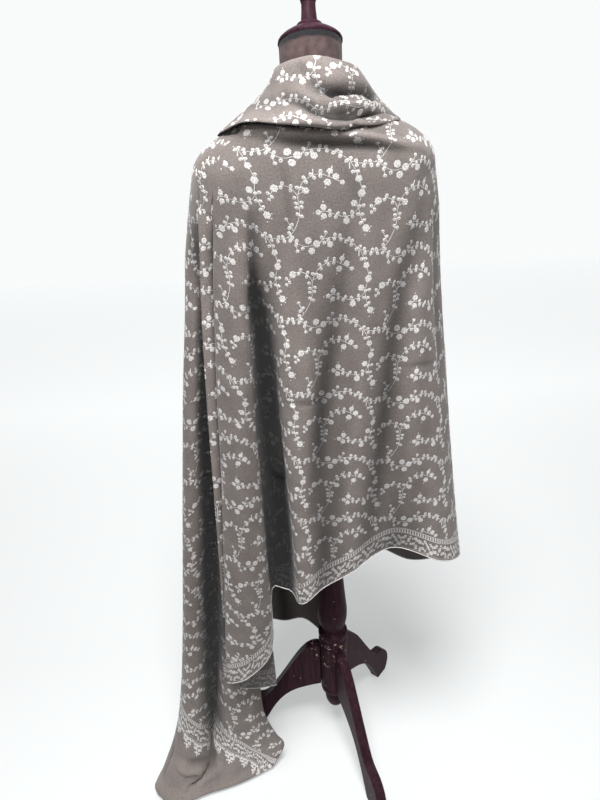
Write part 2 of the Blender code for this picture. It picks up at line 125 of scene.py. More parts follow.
jersey, tree, shader = new_material("jersey", 0.85, sheen=0.15)
place = add(tree, "ShaderNodeTexCoord").outputs["Object"]
parts = add(tree, "ShaderNodeSeparateXYZ", {"Vector": place}).outputs
patches = noise(tree, place, 60.0)
rubbed = times(tree, ramp(tree, parts["Z"], RUBBED_FROM, RIM), ramp(tree, patches, 0.35, 0.75))
below_rim = plus(tree, parts["Z"], times(tree, parts["Y"], RIM_SLOPE))
# Painted shadow of the cap's rim on the jersey, in a narrow band just below it
rim_shadow_share = ramp(tree, plus(tree, below_rim, times(tree, patches, 0.008)), SHADOW_FROM, RIM)
rubbed = blend(tree, rubbed, JERSEY_DARK, JERSEY_RUBBED)
tree.links.new(blend(tree, rim_shadow_share, rubbed, RIM_SHADOW), shader.inputs["Base Color"])
knit = add(tree, "ShaderNodeTexWave", {"Vector": place, "Scale": 450.0}, bands_direction="Z")
bump(tree, shader, knit.outputs["Fac"], 0.0003, 0.5)


# ---- Stand -------------------------------------------------------------------------------
# Post, hub, neck cap and finial are turned hardwood and the three legs are sawn from board,
# all stained dark mahogany under gloss lacquer, with small pale chips worn through.

STAIN_DARK = (0.026, 0.011, 0.017, 1)
STAIN_LIGHT = (0.050, 0.021, 0.029, 1)
WORN = (0.42, 0.33, 0.25, 1)
KNOCKED_SPOT = (0.0700, 0.0000, 0.315)  # where the legs meet the hub, which shows most wear
KNOCKED_REACH = 0.06
ALONG_GRAIN = (1.0, 1.0, 0.12)  # the grain is drawn out upwards

wood, tree, shader = new_material("mahogany", 0.38, Specular_IOR_Level=0.03)
place = add(tree, "ShaderNodeTexCoord").outputs["Object"]
drawn_out = add(tree, "ShaderNodeMapping", {"Vector": place, "Scale": ALONG_GRAIN}).outputs["Vector"]
grain = blend(tree, ramp(tree, noise(tree, drawn_out, 120.0, 5.0), 0.35, 0.7), STAIN_DARK, STAIN_LIGHT)
chips = ramp(tree, noise(tree, place, 95.0, 2.0), 0.735, 0.755)
away = add(tree, "ShaderNodeVectorMath", {0: place, 1: KNOCKED_SPOT}, operation="DISTANCE")
near_hub = ramp(tree, away.outputs["Value"], KNOCKED_REACH, KNOCKED_REACH - 0.01)
knocked = times(tree, ramp(tree, noise(tree, place, 110.0, 3.0), 0.635, 0.65), near_hub)
chips = add(tree, "ShaderNodeMath", {0: chips, 1: knocked}, operation="MAXIMUM").outputs[0]
tree.links.new(blend(tree, chips, grain, WORN), shader.inputs["Base Color"])
bump(tree, shader, noise(tree, drawn_out, 90.0), 0.0004, 0.4)

finishes = {"dress_form": jersey}
for name in ("neck_cap", "finial", "post", "hub", "leg_back", "leg_right", "leg_left"):
    finishes[name] = wood
for name, finish in finishes.items():
    nodes[name].data.materials.clear()
    nodes[name].data.materials.append(finish)


# ---- Shawl's cloth -----------------------------------------------------------------------
# One length of fine wool twill with the shoulders, the back, the lapped pleat and the front
# in one sheet; the long end on the left joins it over the shoulder. Folded by hand.

MM = 0.001
POST = np.array((0.0876, 0.0204, 0.0))  # where its axis stands in the frame
CLOTH_THICKNESS = 0.001
MERGED = 0.00002  # points closer than this are one
ROW = 0.006  # height of a row of the fine grids
WRAP_COLUMN = 0.0075
LONG_COLUMN = 0.0065
HIPS = (0.85, 1.45)  # heights between which the jersey holds the cloth off
HELD_OFF = 0.003  # the cloth's middle from the jersey
NEAR_HIPS = 0.03  # the cloth further off than this can't touch them
FOLD_DEPTH = 0.006  # a fold this deep gets the darkest painted shade
SHADE_TOP = 1.46  # painted shade of the shoulder on the left pleats, from here down
WRAP_SHADE = 0.28
LONG_SHADE = 0.36
PLEAT_RIGHT = -0.11  # the left pleat's right edge, from which that painted shade deepens to the left
LONG_BEHIND = 0.032  # left of the pleat's fold the long end gets its painted shadow as far as this
YOKE_RINGS = (
    # half width to left and right, half depth behind and before, z back, left, right, front
    (78, 78, 70, 84, 1601, 1600, 1600, 1568),
    (116, 116, 88, 99, 1571, 1571, 1572, 1550),
    (160, 158, 102, 113, 1541, 1545, 1549, 1526),
    (200, 196, 111, 124, 1510, 1520, 1526, 1500),
    (219, 214, 117, 131, 1480, 1496, 1503, 1474),
    (229, 220, 121, 135, 1450, 1462, 1466, 1446),
    (238, 226, 124, 138, 1420, 1424, 1424, 1420),
)
YOKE_SQUARENESS = 2.5
LEFT_SPLIT = -46.5  # degrees round from the back, where the sheet parts below the shoulder
FRONT_SPLIT = 220
PLEAT_AZIMUTHS = (-45.6, -45.1, -44.4, -37.4, -32, -27.5)
BACK_AZIMUTHS = (-24, -17.5, -8.2, 0, 13.2, 29.7, 52.8, 90, 127)
FRONT_AZIMUTHS = (143.6, 169, 188.5, 210, 219.5)
PLEAT_ROWS = (
    # height, then (across, depth) of the fold, left slope, ridge and right edge
    (1340, -190, -97, -171, -113, -149, -122, -130, -124),
    (1220, -200, -105, -180, -124, -156, -133, -138, -128),
    (1080, -210, -114, -189, -135, -163, -145, -145, -132),
    (930, -218, -123, -197, -146, -172, -156, -147, -138),
    (790, -228, -132, -206, -155, -180, -165, -147, -142),
)
PLEAT_HEM = ((-258, -166, 402), (-232, -186, 414), (-196, -184, 431), (-149, -144, 458))
FOLD_SIZES = (0.006, 0.009, 0.011, 0.012, 0.013, 0.013)
FOLD_TURN = ((1.6, 1.15), (0.2, 0.75))
BACK_ROWS = (
    # foot of the pleat, valley, first ridge, hollow, middle, second hollow, second ridge,
    # right turn, corner
    (1340, -116, -122, -98, -120, -50, -131, 0, -130, 66, -128, 126, -118, 186, -87, 235, 2, 196, 92),
    (1220, -128, -116, -110, -111, -52, -138, -4, -133, 64, -131, 128, -120, 196, -89, 246, 4, 204, 98),
    (1080, -136, -110, -118, -98, -55, -144, -8, -134, 62, -133, 130, -119, 208, -93, 259, 5, 213, 103),
    (930, -138, -106, -114, -89, -62, -151, -12, -134, 58, -134, 131, -116, 221, -99, 274, 3, 222, 107),
    (790, -139, -104, -108, -85, -67, -158, -18, -133, 52, -133, 131, -111, 232, -106, 289, -3, 230, 110),
)
BACK_HEM = (
    (-141, -98, 600), (-112, -98, 597), (-70, -164, 614), (-24, -140, 632), (44, -132, 666),
    (128, -106, 704), (238, -116, 668), (309, -14, 606), (212, 112, 490),
)
FRONT_ROWS = (
    # right fold, hollow, middle, left fold, left edge
    (1340, 146, 130, 58, 143, -46, 146, -128, 132, -158, 120),
    (1220, 152, 134, 60, 139, -44, 148, -130, 133, -164, 122),
    (1080, 156, 138, 60, 132, -44, 146, -132, 132, -170, 122),
    (930, 160, 144, 58, 128, -46, 146, -134, 130, -176, 120),
    (790, 166, 150, 58, 126, -48, 148, -136, 128, -182, 118),
)
FRONT_HEM = ((146, 154, 501), (60, 124, 556), (-48, 150, 540), (-136, 126, 500), (-188, 116, 470))
LONG_AZIMUTHS = (-139.6, -112.8, -90, -70.5, -60, -53, -47.2)
LONG_ROWS = (
    # far end, far side, left turn, outer ridge, valley, inner ridge, right edge
    (1340, -184, 110, -240, 46, -253, -14, -238, -40, -222, -52, -202, -61, -182, -68),
    (1220, -196, 117, -254, 42, -267, -32, -251, -53, -230, -61, -198, -69, -166, -74),
    (1080, -214, 121, -271, 35, -287, -44, -268, -66, -241, -70, -202, -78, -164, -80),
    (930, -228, 124, -287, 30, -306, -58, -288, -82, -255, -74, -208, -86, -164, -84),
    (790, -238, 125, -300, 24, -323, -71, -304, -95, -267, -80, -214, -94, -166, -88),
    (640, -248, 121, -313, 12, -341, -83, -321, -110, -280, -88, -222, -104, -170, -94),
    (480, -257, 113, -328, -2, -361, -95, -338, -124, -294, -96, -234, -116, -178, -100),
    (320, -264, 102, -344, -18, -384, -107, -355, -136, -310, -106, -250, -130, -190, -104),
    (200, -270, 94, -358, -30, -408, -119, -374, -148, -320, -120, -256, -140, -186, -106),
    (120, -276, 88, -376, -38, -434, -132, -392, -162, -330, -138, -256, -144, -164, -100),
    (62, -282, 86, -394, -44, -458, -142, -408, -176, -340, -156, -262, -146, -146, -92),
)
LONG_HEM = (
    (-286, 84, 210), (-408, -46, 66), (-482, -154, 14), (-428, -196, 12), (-348, -170, 12),
    (-268, -147, 12), (-182, -112, 14),
)


def paired(first, second):
    """Two fields of numbers as one of pairs; either may be a single row."""
    return np.stack(np.broadcast_arrays(first, second), axis=2)


def rise(value, start, span):
    """0 up to a start, then up to 1 over a span, which runs down if it is negative."""
    return np.clip((value - start) / span, 0, 1)


def curve_through(knots, values, at):
    """Values on a smooth curve through the given ones: cubic pieces with mean slopes."""
    knots = np.asarray(knots, float)
    values = np.asarray(values, float)
    steps = np.diff(knots)
    slopes = np.diff(values, axis=0) / steps[:, None]
    tangents = np.empty_like(values)
    share = (steps[:-1] / (steps[:-1] + steps[1:]))[:, None]
    tangents[1:-1] = slopes[:-1] * (1 - share) + slopes[1:] * share
    tangents[0] = 1.5 * slopes[0] - 0.5 * tangents[1]
    tangents[-1] = 1.5 * slopes[-1] - 0.5 * tangents[-2]
    piece = np.clip(np.searchsorted(knots, at, side="right") - 1, 0, len(steps) - 1)
    step = steps[piece][:, None]
    t = ((at - knots[piece]) / steps[piece])[:, None]
    return (
        values[piece] * (1 + 2 * t) * (1 - t) ** 2
        + values[piece + 1] * t * t * (3 - 2 * t)
        + tangents[piece] * step * t * (1 - t) ** 2
        - tangents[piece + 1] * step * t * t * (1 - t)
    )


def steps_of(points, axis=0):
    """Lengths between neighbouring points of a net."""
    return np.linalg.norm(np.diff(points, axis=axis), axis=-1)


def summed(lengths):
    """Running totals of lengths, from 0."""
    return np.concatenate([[0], np.cumsum(lengths)])


def along(points):
    """How far along it each row of a net lies, from 0 to 1, by its mean length."""
    total = summed(steps_of(points).mean(axis=1))
    return total / total[-1]


def resampled(knots, grid, at):
    """A grid's rows at other places along it, on smooth curves through the given rows."""
    return curve_through(knots, grid.reshape(len(grid), -1), at).reshape(len(at), *grid.shape[1:])


def steps_between(knots, pitch):
    """Places between knots, a whole number of steps to each interval."""
    places = [0.0]
    for low, high in zip(knots, knots[1:]):
        count = max(2, round((high - low) / pitch))
        places += list(np.linspace(low, high, count + 1)[1:])
    return np.array(places)


def yoke_point(ring, azimuth):
    """A point on one ring of the yoke, that many degrees round from the back."""
    left, right, back, front, z_back, z_left, z_right, z_front = ring
    turn = math.radians(azimuth)
    side = abs(math.sin(turn)) ** (2 / YOKE_SQUARENESS)
    fore = abs(math.cos(turn)) ** (2 / YOKE_SQUARENESS)
    sideways = math.sin(turn) > 0
    behind = math.cos(turn) > 0
    z_side = z_right if sideways else z_left
    z_middle = z_back if behind else z_front
    x = side * (right if sideways else -left)
    y = fore * (-back if behind else front)
    return (x * MM, y * MM, (z_middle + (z_side - z_middle) * side ** 2) * MM)


def hanging_rows(tables, hems, folds=None):
    """Rows of a net from tables side by side, with the hem as the last."""
    net = []
    for rows in zip(*tables):
        line = []
        for height, *pairs in rows:
            line += [(x * MM, y * MM, height * MM) for x, y in zip(pairs[::2], pairs[1::2])]
        net.append(line)
    net.append([(x * MM, y * MM, z * MM) for hem in hems for x, y, z in hem])
    for row, size in zip(net, folds or ()):
        x, y, z = row[0]
        row[:0] = [(x + size * across, y + size * depth, z) for across, depth in FOLD_TURN]
    return net


def with_yoke(upper, lower, hanging):
    """A whole net: all rings but the last at one set of azimuths, the last at another."""
    rings = [[yoke_point(ring, a) for a in upper] for ring in YOKE_RINGS[:-1]]
    rings.append([yoke_point(YOKE_RINGS[-1], a) for a in lower])
    return np.array(rings + hanging)


def fine_grid(net, pitch, tall, ring_knots=None):
    """A grid of points on the smooth sheet through a net, about a pitch apart.
    Rows on the yoke's rings lie the same way on every sheet, so that sheets can join there."""
    down = along(net) * steps_of(net).sum(axis=0).mean()
    if ring_knots is not None:
        below = down[len(ring_knots):] - down[len(ring_knots) - 1]
        down = np.concatenate([ring_knots, ring_knots[-1] + below])
    across = along(net.transpose(1, 0, 2))
    columns = steps_between(across, pitch / steps_of(net, 1).sum(axis=1).mean())
    fine = resampled(down, net, steps_between(down, tall)).transpose(1, 0, 2)
    return resampled(across, fine, columns).transpose(1, 0, 2)


def outward(grid):
    """Normals of a grid whose columns run anticlockwise, seen from above, and rows down."""
    normal = np.cross(np.gradient(grid, axis=0), np.gradient(grid, axis=1))
    return normal / np.linalg.norm(normal, axis=2, keepdims=True)


def smooth_line(path, count):
    """Evenly spaced points of a smooth line through the given ones."""
    knots = summed(steps_of(path))
    at = np.linspace(0, knots[-1], count)
    if len(path) > 2:
        return curve_through(knots, path, at)
    return path[0] + (path[1] - path[0]) * at[:, None] / knots[-1]


FACING = {
    # side: the two coordinates that lie along it, the one that points out, and its sign
    "back": (0, 2, 1, -1),
    "front": (0, 2, 1, 1),
    "left": (1, 2, 0, -1),
    "right": (1, 2, 0, 1),
}
CREASE_POINTS = 90


def crease(grid, side, depth, width, *path):
    """Presses a soft trough into a grid, or with a negative depth raises a ridge, along a
    path of points on one side; it is deepest in the middle and fades to both ends."""
    first, second, out, sign = FACING[side]
    line = smooth_line(np.array(path, float) * MM, CREASE_POINTS)
    normal = outward(grid)
    flat = grid[..., [first, second]]
    gap = np.linalg.norm(flat[..., None, :] - line, axis=3)
    nearest = gap.argmin(axis=2)
    gap = gap.min(axis=2) / (width * MM)
    fade = np.sin(np.pi * nearest / (len(line) - 1)) ** 0.8
    facing = np.clip(normal[..., out] * sign * 3, 0, 1)
    press = depth * MM * np.exp(-gap ** 2) * fade * facing
    return grid - normal * press[..., None]


def hollows(grid, reach=0.02):
    """How far each point lies under the cloth round it: 1 deep in a fold, below 0 on a ridge;
    it sets the painted shade in folds and the painted highlight on ridges.  Near the floor,
    which throws light back, the painted shade is weaker and turns to painted light."""
    smooth = grid.copy()
    for axis in (0, 1):
        pitch = steps_of(grid, axis).mean()
        line = np.moveaxis(smooth, axis, 0)
        for _ in range(round(2 * (reach / pitch) ** 2)):
            line[1:-1] = (line[:-2] + 2 * line[1:-1] + line[2:]) / 4
    under = ((smooth - grid) * outward(grid)).sum(axis=2) / FOLD_DEPTH
    low = rise(grid[..., 2], 0.2, -0.2)
    return np.clip(np.clip(under, -0.5, 1) * (1 - 0.5 * low) - 1.1 * low, -1, 1)


def measured(grid):
    """Arc lengths across each row from its first point, and down each column."""
    across = np.cumsum(np.pad(steps_of(grid, 1), ((0, 0), (1, 0))), axis=1)
    down = np.cumsum(np.pad(steps_of(grid), ((1, 0), (0, 0))), axis=0)
    return across, down


def grid_mesh(name, grid, flat, edge, bare_columns=0, reach=0.02, painted_shade=0.0, normal=None):
    """A mesh of a grid of points, with its flat and edge coordinates as UV maps and, for
    sewing on, its smooth normals and where it is sewn: not in its first columns, if those
    lie folded under.  Its painted shade, from 0 to 1, where another layer lies close over it
    or it is turned from the light, is added to that of its folds."""
    rows, columns = grid.shape[:2]
    j, i = np.mgrid[0:rows - 1, 0:columns - 1]
    corner = j * columns + i
    faces = np.stack([corner, corner + columns, corner + columns + 1, corner + 1], axis=2).reshape(-1, 4)
    mesh = bpy.data.meshes.new(name)
    mesh.from_pydata((grid.reshape(-1, 3) + POST).tolist(), [], faces.tolist())
    for title, values in (("cloth", flat), ("edge", edge)):
        layer = mesh.uv_layers.new(name=title)
        layer.data.foreach_set("uv", values.reshape(-1, 2)[faces.ravel()].astype(np.float32).ravel())
    sewn = np.ones((rows, columns))
    sewn[:, :bare_columns] = 0
    for title, kind, field, values in (
        ("outward", "FLOAT_VECTOR", "vector", outward(grid) if normal is None else normal),
        ("sewn", "FLOAT", "value", sewn),
        ("hollow", "FLOAT", "value", np.clip(hollows(grid, reach) + painted_shade, -1, 1)),
    ):
        attribute = mesh.attributes.new(title, kind, "POINT")
        attribute.data.foreach_set(field, values.astype(np.float32).ravel())
    mesh.shade_smooth()
    return mesh


def linked(name, data):
    item = bpy.data.objects.new(name, data)
    bpy.context.scene.collection.objects.link(item)
    return item


def join_meshes(name, meshes):
    """One mesh of several."""
    parts = [linked(f"{name}_part_{number}", mesh.copy()) for number, mesh in enumerate(meshes)]
    with bpy.context.temp_override(active_object=parts[0], selected_editable_objects=parts):
        bpy.ops.object.join()
    whole = parts[0].data
    bpy.data.objects.remove(parts[0])
    return whole


def finished(item, smooth=False):
    """Gives an object the plain mesh that its modifiers make, and takes it into the model."""
    bpy.context.view_layer.update()
    seen = item.evaluated_get(bpy.context.evaluated_depsgraph_get())
    mesh = bpy.data.meshes.new_from_object(seen)
    item.modifiers.clear()
    item.data = mesh
    if smooth:
        mesh.shade_smooth()
    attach(item, "root")
    return item


def thick_cloth(name, mesh, *finishes):
    """A named piece of cloth of even thickness about a sheet; its points are merged first."""
    item = linked(name, mesh)
    weld = item.modifiers.new("weld", "WELD")
    weld.merge_threshold = MERGED
    body = item.modifiers.new("thickness", "SOLIDIFY")
    body.thickness = CLOTH_THICKNESS
    body.offset = 0
    body.material_offset = 1
    body.material_offset_rim = 0
    for finish in finishes:
        mesh.materials.append(finish)
    return finished(item, smooth=True)


WRAP_CREASES = (
    # side, depth, width, then points along it
    ("back", -11.0, 7, (-200, 1536), (-150, 1548), (-118, 1548), (-78, 1543), (-40, 1537), (0, 1533),
     (41, 1529), (79, 1524), (120, 1515), (195, 1500)),
    ("back", 4.0, 7, (-100, 1529), (-64, 1525), (5, 1517), (78, 1511), (137, 1505), (190, 1497)),
    ("back", 17.0, 17, (-112, 1450), (-118, 1359), (-117, 1290), (-112, 1196), (-110, 1074), (-108, 926),
     (-104, 760), (-99, 620), (-95, 510)),
    ("back", 8.0, 13, (-112, 1425), (-118, 1350), (-121, 1290), (-118, 1210), (-114, 1120)),
    ("back", -7.0, 11, (-72, 1380), (-74, 1293), (-74, 1201), (-76, 1079), (-78, 934), (-78, 771),
     (-76, 480)),
    ("back", -3.0, 8, (-132, 1400), (-134, 1293), (-136, 1201), (-139, 1079), (-142, 934), (-142, 771),
     (-138, 560)),
    ("back", 7.5, 21, (54, 1470), (41, 1368), (31, 1302), (18, 1232), (6, 1158), (-13, 1039), (-30, 934),
     (-49, 823), (-66, 720)),
    ("back", -3.0, 14, (90, 1400), (86, 1365), (75, 1264), (62, 1094), (44, 923), (30, 720)),
    ("back", 12.0, 25, (204, 1560), (197, 1490), (187, 1430), (172, 1359), (146, 1276), (132, 1204),
     (125, 1147), (118, 1067), (108, 982), (98, 891), (82, 795), (62, 640)),
    ("back", -3.0, 16, (180, 1330), (177, 1251), (172, 1138), (168, 970), (163, 760)),
    ("back", 8.0, 11, (206, 1450), (210, 1400), (217, 1348), (222, 1238), (229, 1159), (236, 1040)),
    ("back", 3.0, 4, (-75, 1077), (-40, 1074), (-12, 1078)),
    ("back", 3.0, 4, (144, 1124), (180, 1126), (214, 1120)),
    ("back", -2.0, 10, (-176, 1200), (-184, 1000), (-196, 700)),
    ("back", 2.5, 9, (-60, 1500), (-52, 1440), (-58, 1370)),
    ("back", 2.0, 10, (30, 1490), (60, 1440), (70, 1380)),
    ("right", 4.0, 12, (-20, 1400), (-6, 1260), (-10, 1120)),
    ("right", 3.0, 12, (40, 1300), (46, 1140), (44, 980)),
    ("right", -3.0, 14, (20, 1000), (24, 860), (20, 740)),
    ("front", 6.0, 16, (120, 1440), (98, 1280), (90, 1120), (84, 940)),
    ("front", 5.0, 14, (20, 1400), (8, 1240), (4, 1060), (10, 860)),
    ("front", 4.0, 12, (100, 1000), (110, 860), (112, 640)),
    ("front", 3.0, 16, (-70, 1300), (-84, 1130), (-86, 940)),
)
LONG_CREASES = (
    ("back", 5.0, 4, (-203, 1480), (-207, 1448), (-211, 1408), (-214, 1364), (-219, 1323), (-226, 1230)),
    ("back", 3.0, 10, (-215, 1300), (-222, 1180), (-228, 1060)),
    ("back", 23.0, 15, (-222, 1460), (-232, 1282), (-237, 1188), (-245, 1066), (-248, 978), (-254, 860),
     (-263, 735), (-276, 600), (-289, 455), (-303, 310), (-312, 215)),
    ("back", 10.0, 6, (-276, 600), (-289, 455), (-305, 302), (-320, 190), (-326, 120), (-332, 50)),
    ("back", 19.0, 5, (-318, 230), (-326, 150), (-325, 104), (-340, 72), (-364, 58), (-388, 40), (-402, 6)),
    ("back", -11.0, 7, (-430, 118), (-388, 86), (-358, 76), (-372, 62), (-396, 44)),
    ("back", -8.0, 7, (-306, 200), (-311, 130), (-312, 92), (-330, 58), (-362, 42), (-384, 20)),
    ("back", 6.0, 9, (-412, 140), (-380, 112), (-345, 100), (-330, 96)),
    ("back", -4.0, 9, (-240, 420), (-222, 238), (-204, 104), (-190, 40)),
    ("back", 2.0, 9, (-350, 300), (-372, 160), (-392, 40)),
    ("back", 11.0, 4.5, (-420, 185), (-434, 120), (-448, 88), (-459, 56), (-461, 30), (-456, 2)),
    ("back", -5.0, 7, (-436, 150), (-448, 110), (-470, 60)),
    ("back", -9.0, 28, (-580, 6), (-400, 6), (-240, 6), (-40, 6)),
    ("left", 4.0, 14, (-10, 1320), (-4, 1120), (-14, 900)),
    ("left", 5.0, 14, (50, 1180), (46, 960), (30, 720)),
    ("left", 6.0, 16, (-40, 700), (-48, 420), (-64, 200)),
    ("left", 4.0, 12, (70, 800), (66, 560), (60, 330)),
)

rings = np.array([[yoke_point(ring, a) for a in range(-180, 180, 5)] for ring in YOKE_RINGS])
ring_knots = summed(steps_of(rings).mean(axis=1))

outer_azimuths = PLEAT_AZIMUTHS + BACK_AZIMUTHS + FRONT_AZIMUTHS
upper_azimuths = (LEFT_SPLIT, -45.6, -44.4) + outer_azimuths[3:-1] + (FRONT_SPLIT,)
outer_hanging = hanging_rows(
    (PLEAT_ROWS, BACK_ROWS, FRONT_ROWS), (PLEAT_HEM, BACK_HEM, FRONT_HEM), FOLD_SIZES
)
wrap_net = with_yoke(upper_azimuths, outer_azimuths, outer_hanging)
wrap_grid = fine_grid(wrap_net, WRAP_COLUMN, ROW, ring_knots)
for values in WRAP_CREASES:
    wrap_grid = crease(wrap_grid, *values)

# The hips hold the cloth off, so no fold goes in behind the jersey
form = nodes["dress_form"]
hips = BVHTree.FromPolygons(
    [form.matrix_world @ v.co for v in form.data.vertices],
    [tuple(f.vertices) for f in form.data.polygons],
)
on_hips = (wrap_grid[..., 2] > HIPS[0]) & (wrap_grid[..., 2] < HIPS[1]) & (wrap_grid[..., 1] < 0)
for row, column in np.argwhere(on_hips):
    spot = Vector(wrap_grid[row, column] + POST)
    on_form, away, _, _ = hips.find_nearest(spot, NEAR_HIPS)
    if on_form is not None:
        short = HELD_OFF - (spot - on_form).dot(away)
        if short > 0:
            wrap_grid[row, column] = np.array(spot + away * short) - POST

long_upper = (FRONT_SPLIT - 360,) + LONG_AZIMUTHS[1:-1] + (LEFT_SPLIT,)
long_net = with_yoke(long_upper, LONG_AZIMUTHS, hanging_rows((LONG_ROWS,), (LONG_HEM,)))
long_grid = fine_grid(long_net, LONG_COLUMN, ROW, ring_knots)
for values in LONG_CREASES:
    long_grid = crease(long_grid, *values)

# The two sheets share their edges down to the last ring but one
ring_rows = len(steps_between(ring_knots[:-1], ROW))
for here, there in ((0, -1), (-1, 0)):
    middle = (wrap_grid[:ring_rows, here] + long_grid[:ring_rows, there]) / 2
    wrap_grid[:ring_rows, here] = middle
    long_grid[:ring_rows, there] = middle

# Flat coordinates of the cloth: across from the centre back, and up from the last ring
wrap_across, wrap_down = measured(wrap_grid)
x, y = wrap_grid[ring_rows, :, 0], wrap_grid[ring_rows, :, 1]
centre = np.abs(x * (y < 0) + (y > 0)).argmin()
ring_row = len(steps_between(ring_knots, ROW)) - 1
wrap_flat = paired(wrap_across - wrap_across[:, [centre]], wrap_down[ring_row] - wrap_down)
STRETCH = 0.14  # by this share the repeat is drawn in towards the shoulders
STRETCH_MIDDLE = 0.069
stretch = rise(wrap_flat[..., 1], -0.05, 0.13) * STRETCH
wrap_flat[..., 0] += (STRETCH_MIDDLE - wrap_flat[..., 0]) * stretch
long_across, long_down = measured(long_grid)
join_across = wrap_flat[ring_row, 0, 0]
long_flat = paired(long_across - long_across[:, -1:] + join_across, long_down[ring_row] - long_down)
long_flat[:ring_rows, :, 0] += wrap_flat[:ring_rows, :1, 0] - join_across

# Edge coordinates: along the hem and up from it, or on the long end as if its hem were
# where its border ends, a border's height below the ladder
BORDER = 0.0555
LADDER_LINE = (
    # across and height of the long end's ladder, from left to right
    (-480, 300), (-383, 274), (-366, 250), (-348, 212), (-331, 192), (-308, 198), (-251, 160),
    (-203, 80), (-180, 40), (-140, 10),
)
LADDER_ROUND_TURN = 0.33  # its height on the side that is turned away
wrap_edge = paired(wrap_across[-1], wrap_down[-1] - wrap_down)
ladder_x, ladder_z = np.array(LADDER_LINE).T * MM
ladder_height = np.interp(long_grid[..., 0], ladder_x, ladder_z)
round_turn = rise(long_grid[..., 1], -0.13, 0.12) * (long_grid[..., 0] < -0.24)
ladder_height += (LADDER_ROUND_TURN - ladder_height) * round_turn
over_ladder = long_grid[..., 2] - ladder_height
low = (over_ladder < 0).argmax(axis=0)
low[low == 0] = len(long_grid) - 1
column = np.arange(long_grid.shape[1])
high = low - 1
share = over_ladder[high, column] / (over_ladder[high, column] - over_ladder[low, column])
ladder_down = long_down[high, column] + share * (long_down[low, column] - long_down[high, column])
rest = long_grid[low, column] - long_grid[high, column]
ladder_points = long_grid[high, column] + share[:, None] * rest
long_edge = paired(summed(steps_of(ladder_points)), BORDER + ladder_down - long_down)

WOOL = (0.100, 0.082, 0.075, 1)
WOOL_LIGHT = (0.244, 0.210, 0.194, 1)
# The wrong side is a darker copy of the wool, as painted shade for the places where it shows, under the
# pleats and hems
WRONG_SIDE = (0.075, 0.062, 0.057, 1)
WRONG_SIDE_LIGHT = (0.150, 0.128, 0.118, 1)
# Painted shade and highlight: shares of the colour left on even cloth, deep in folds and on ridges
ON_EVEN_CLOTH = 0.78  # share of the colour that is left
IN_DEEP_FOLD = 0.04
MORE_ON_RIDGE = 0.62


def painted_fold_shading(tree, colour):
    """A colour with painted shade in the hollows and a painted highlight on ridges."""
    hollow = add(tree, "ShaderNodeAttribute", attribute_name="hollow").outputs["Fac"]
    ridge = ramp(tree, hollow, -1.0, -0.1, MORE_ON_RIDGE, 0.0)
    share = plus(tree, ramp(tree, hollow, -0.1, 1.0, ON_EVEN_CLOTH, IN_DEEP_FOLD), ridge)
    return add(tree, "ShaderNodeVectorMath", {0: colour, "Scale": share}, operation="SCALE").outputs[0]


def wool(name, dark, light):
    finish, tree, shader = new_material(name, 0.85, sheen=0.12)
    place = add(tree, "ShaderNodeUVMap", uv_map="cloth").outputs["UV"]
    mottled = ramp(tree, noise(tree, place, 330.0, 3.0, 0.7), 0.32, 0.68)
    broad = ramp(tree, noise(tree, place, 22.0, 3.0), 0.3, 0.7)
    share = plus(tree, times(tree, mottled, 0.7), times(tree, broad, 0.3))
    tree.links.new(painted_fold_shading(tree, blend(tree, share, dark, light)), shader.inputs["Base Color"])
    turned = add(tree, "ShaderNodeMapping", {"Vector": place, "Rotation": (0, 0, 0.8)}).outputs["Vector"]
    twill = add(tree, "ShaderNodeTexWave", {"Vector": turned, "Scale": 220.0, "Distortion": 1.5})
    bump(tree, shader, twill.outputs["Fac"], 0.0002, 0.6)
    return finish


right_side = wool("wool_right_side", WOOL, WOOL_LIGHT)
wrong_side = wool("wool_wrong_side", WRONG_SIDE, WRONG_SIDE_LIGHT)

FOLDED_UNDER = 5  # columns of the wrap's left edge that turn back under the pleat
# Painted shade on the left pleat under the shoulder, deepening to the left
painted_shoulder_shade = rise(wrap_grid[..., 2], SHADE_TOP, -0.1) * (wrap_grid[..., 1] < 0)
painted_pleat_shade = WRAP_SHADE * painted_shoulder_shade * rise(wrap_grid[..., 0], PLEAT_RIGHT, -0.03)
wrap_mesh = grid_mesh("wrap_sheet", wrap_grid, wrap_flat, wrap_edge, FOLDED_UNDER, painted_shade=painted_pleat_shade)
fold_line = wrap_grid[::-1, FOLDED_UNDER]


def behind_fold(grid, depth):
    """A mask for the pleat's painted shadow: 1 behind its fold line, fading to 0 at a depth to its left."""
    past = grid[..., 0] - np.interp(grid[..., 2], fold_line[:, 2], fold_line[:, 0])
    return rise(past, -depth, depth)


_, long_y, long_z = np.moveaxis(long_grid, 2, 0)
# Painted shade on the long end: the pleat's shadow beside its fold, and the shoulder's shade on its back
painted_shadow = behind_fold(long_grid, LONG_BEHIND) * rise(long_z, 1.40, -0.1) * rise(long_z, 0.36, 0.1)
painted_shoulder_shade = rise(long_z, SHADE_TOP, -0.1) * rise(long_z, 0.25, 0.3) * rise(long_y, 0.0, -0.05)
painted_shadow += LONG_SHADE * painted_shoulder_shade
long_mesh = grid_mesh("long_sheet", long_grid, long_flat, long_edge, painted_shade=painted_shadow)
shawl = thick_cloth("shawl", join_meshes("shawl", (wrap_mesh, long_mesh)), right_side, wrong_side)
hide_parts("yoke", "back_panel", "left_pleat", "front_wrap", "long_end")


# ---- Hidden layers of the pleats ---------------------------------------------------------
# The same cloth where it turns back under the left pleat, wrong side out, and the narrow
# knife pleat that shows between that pleat and the long end.

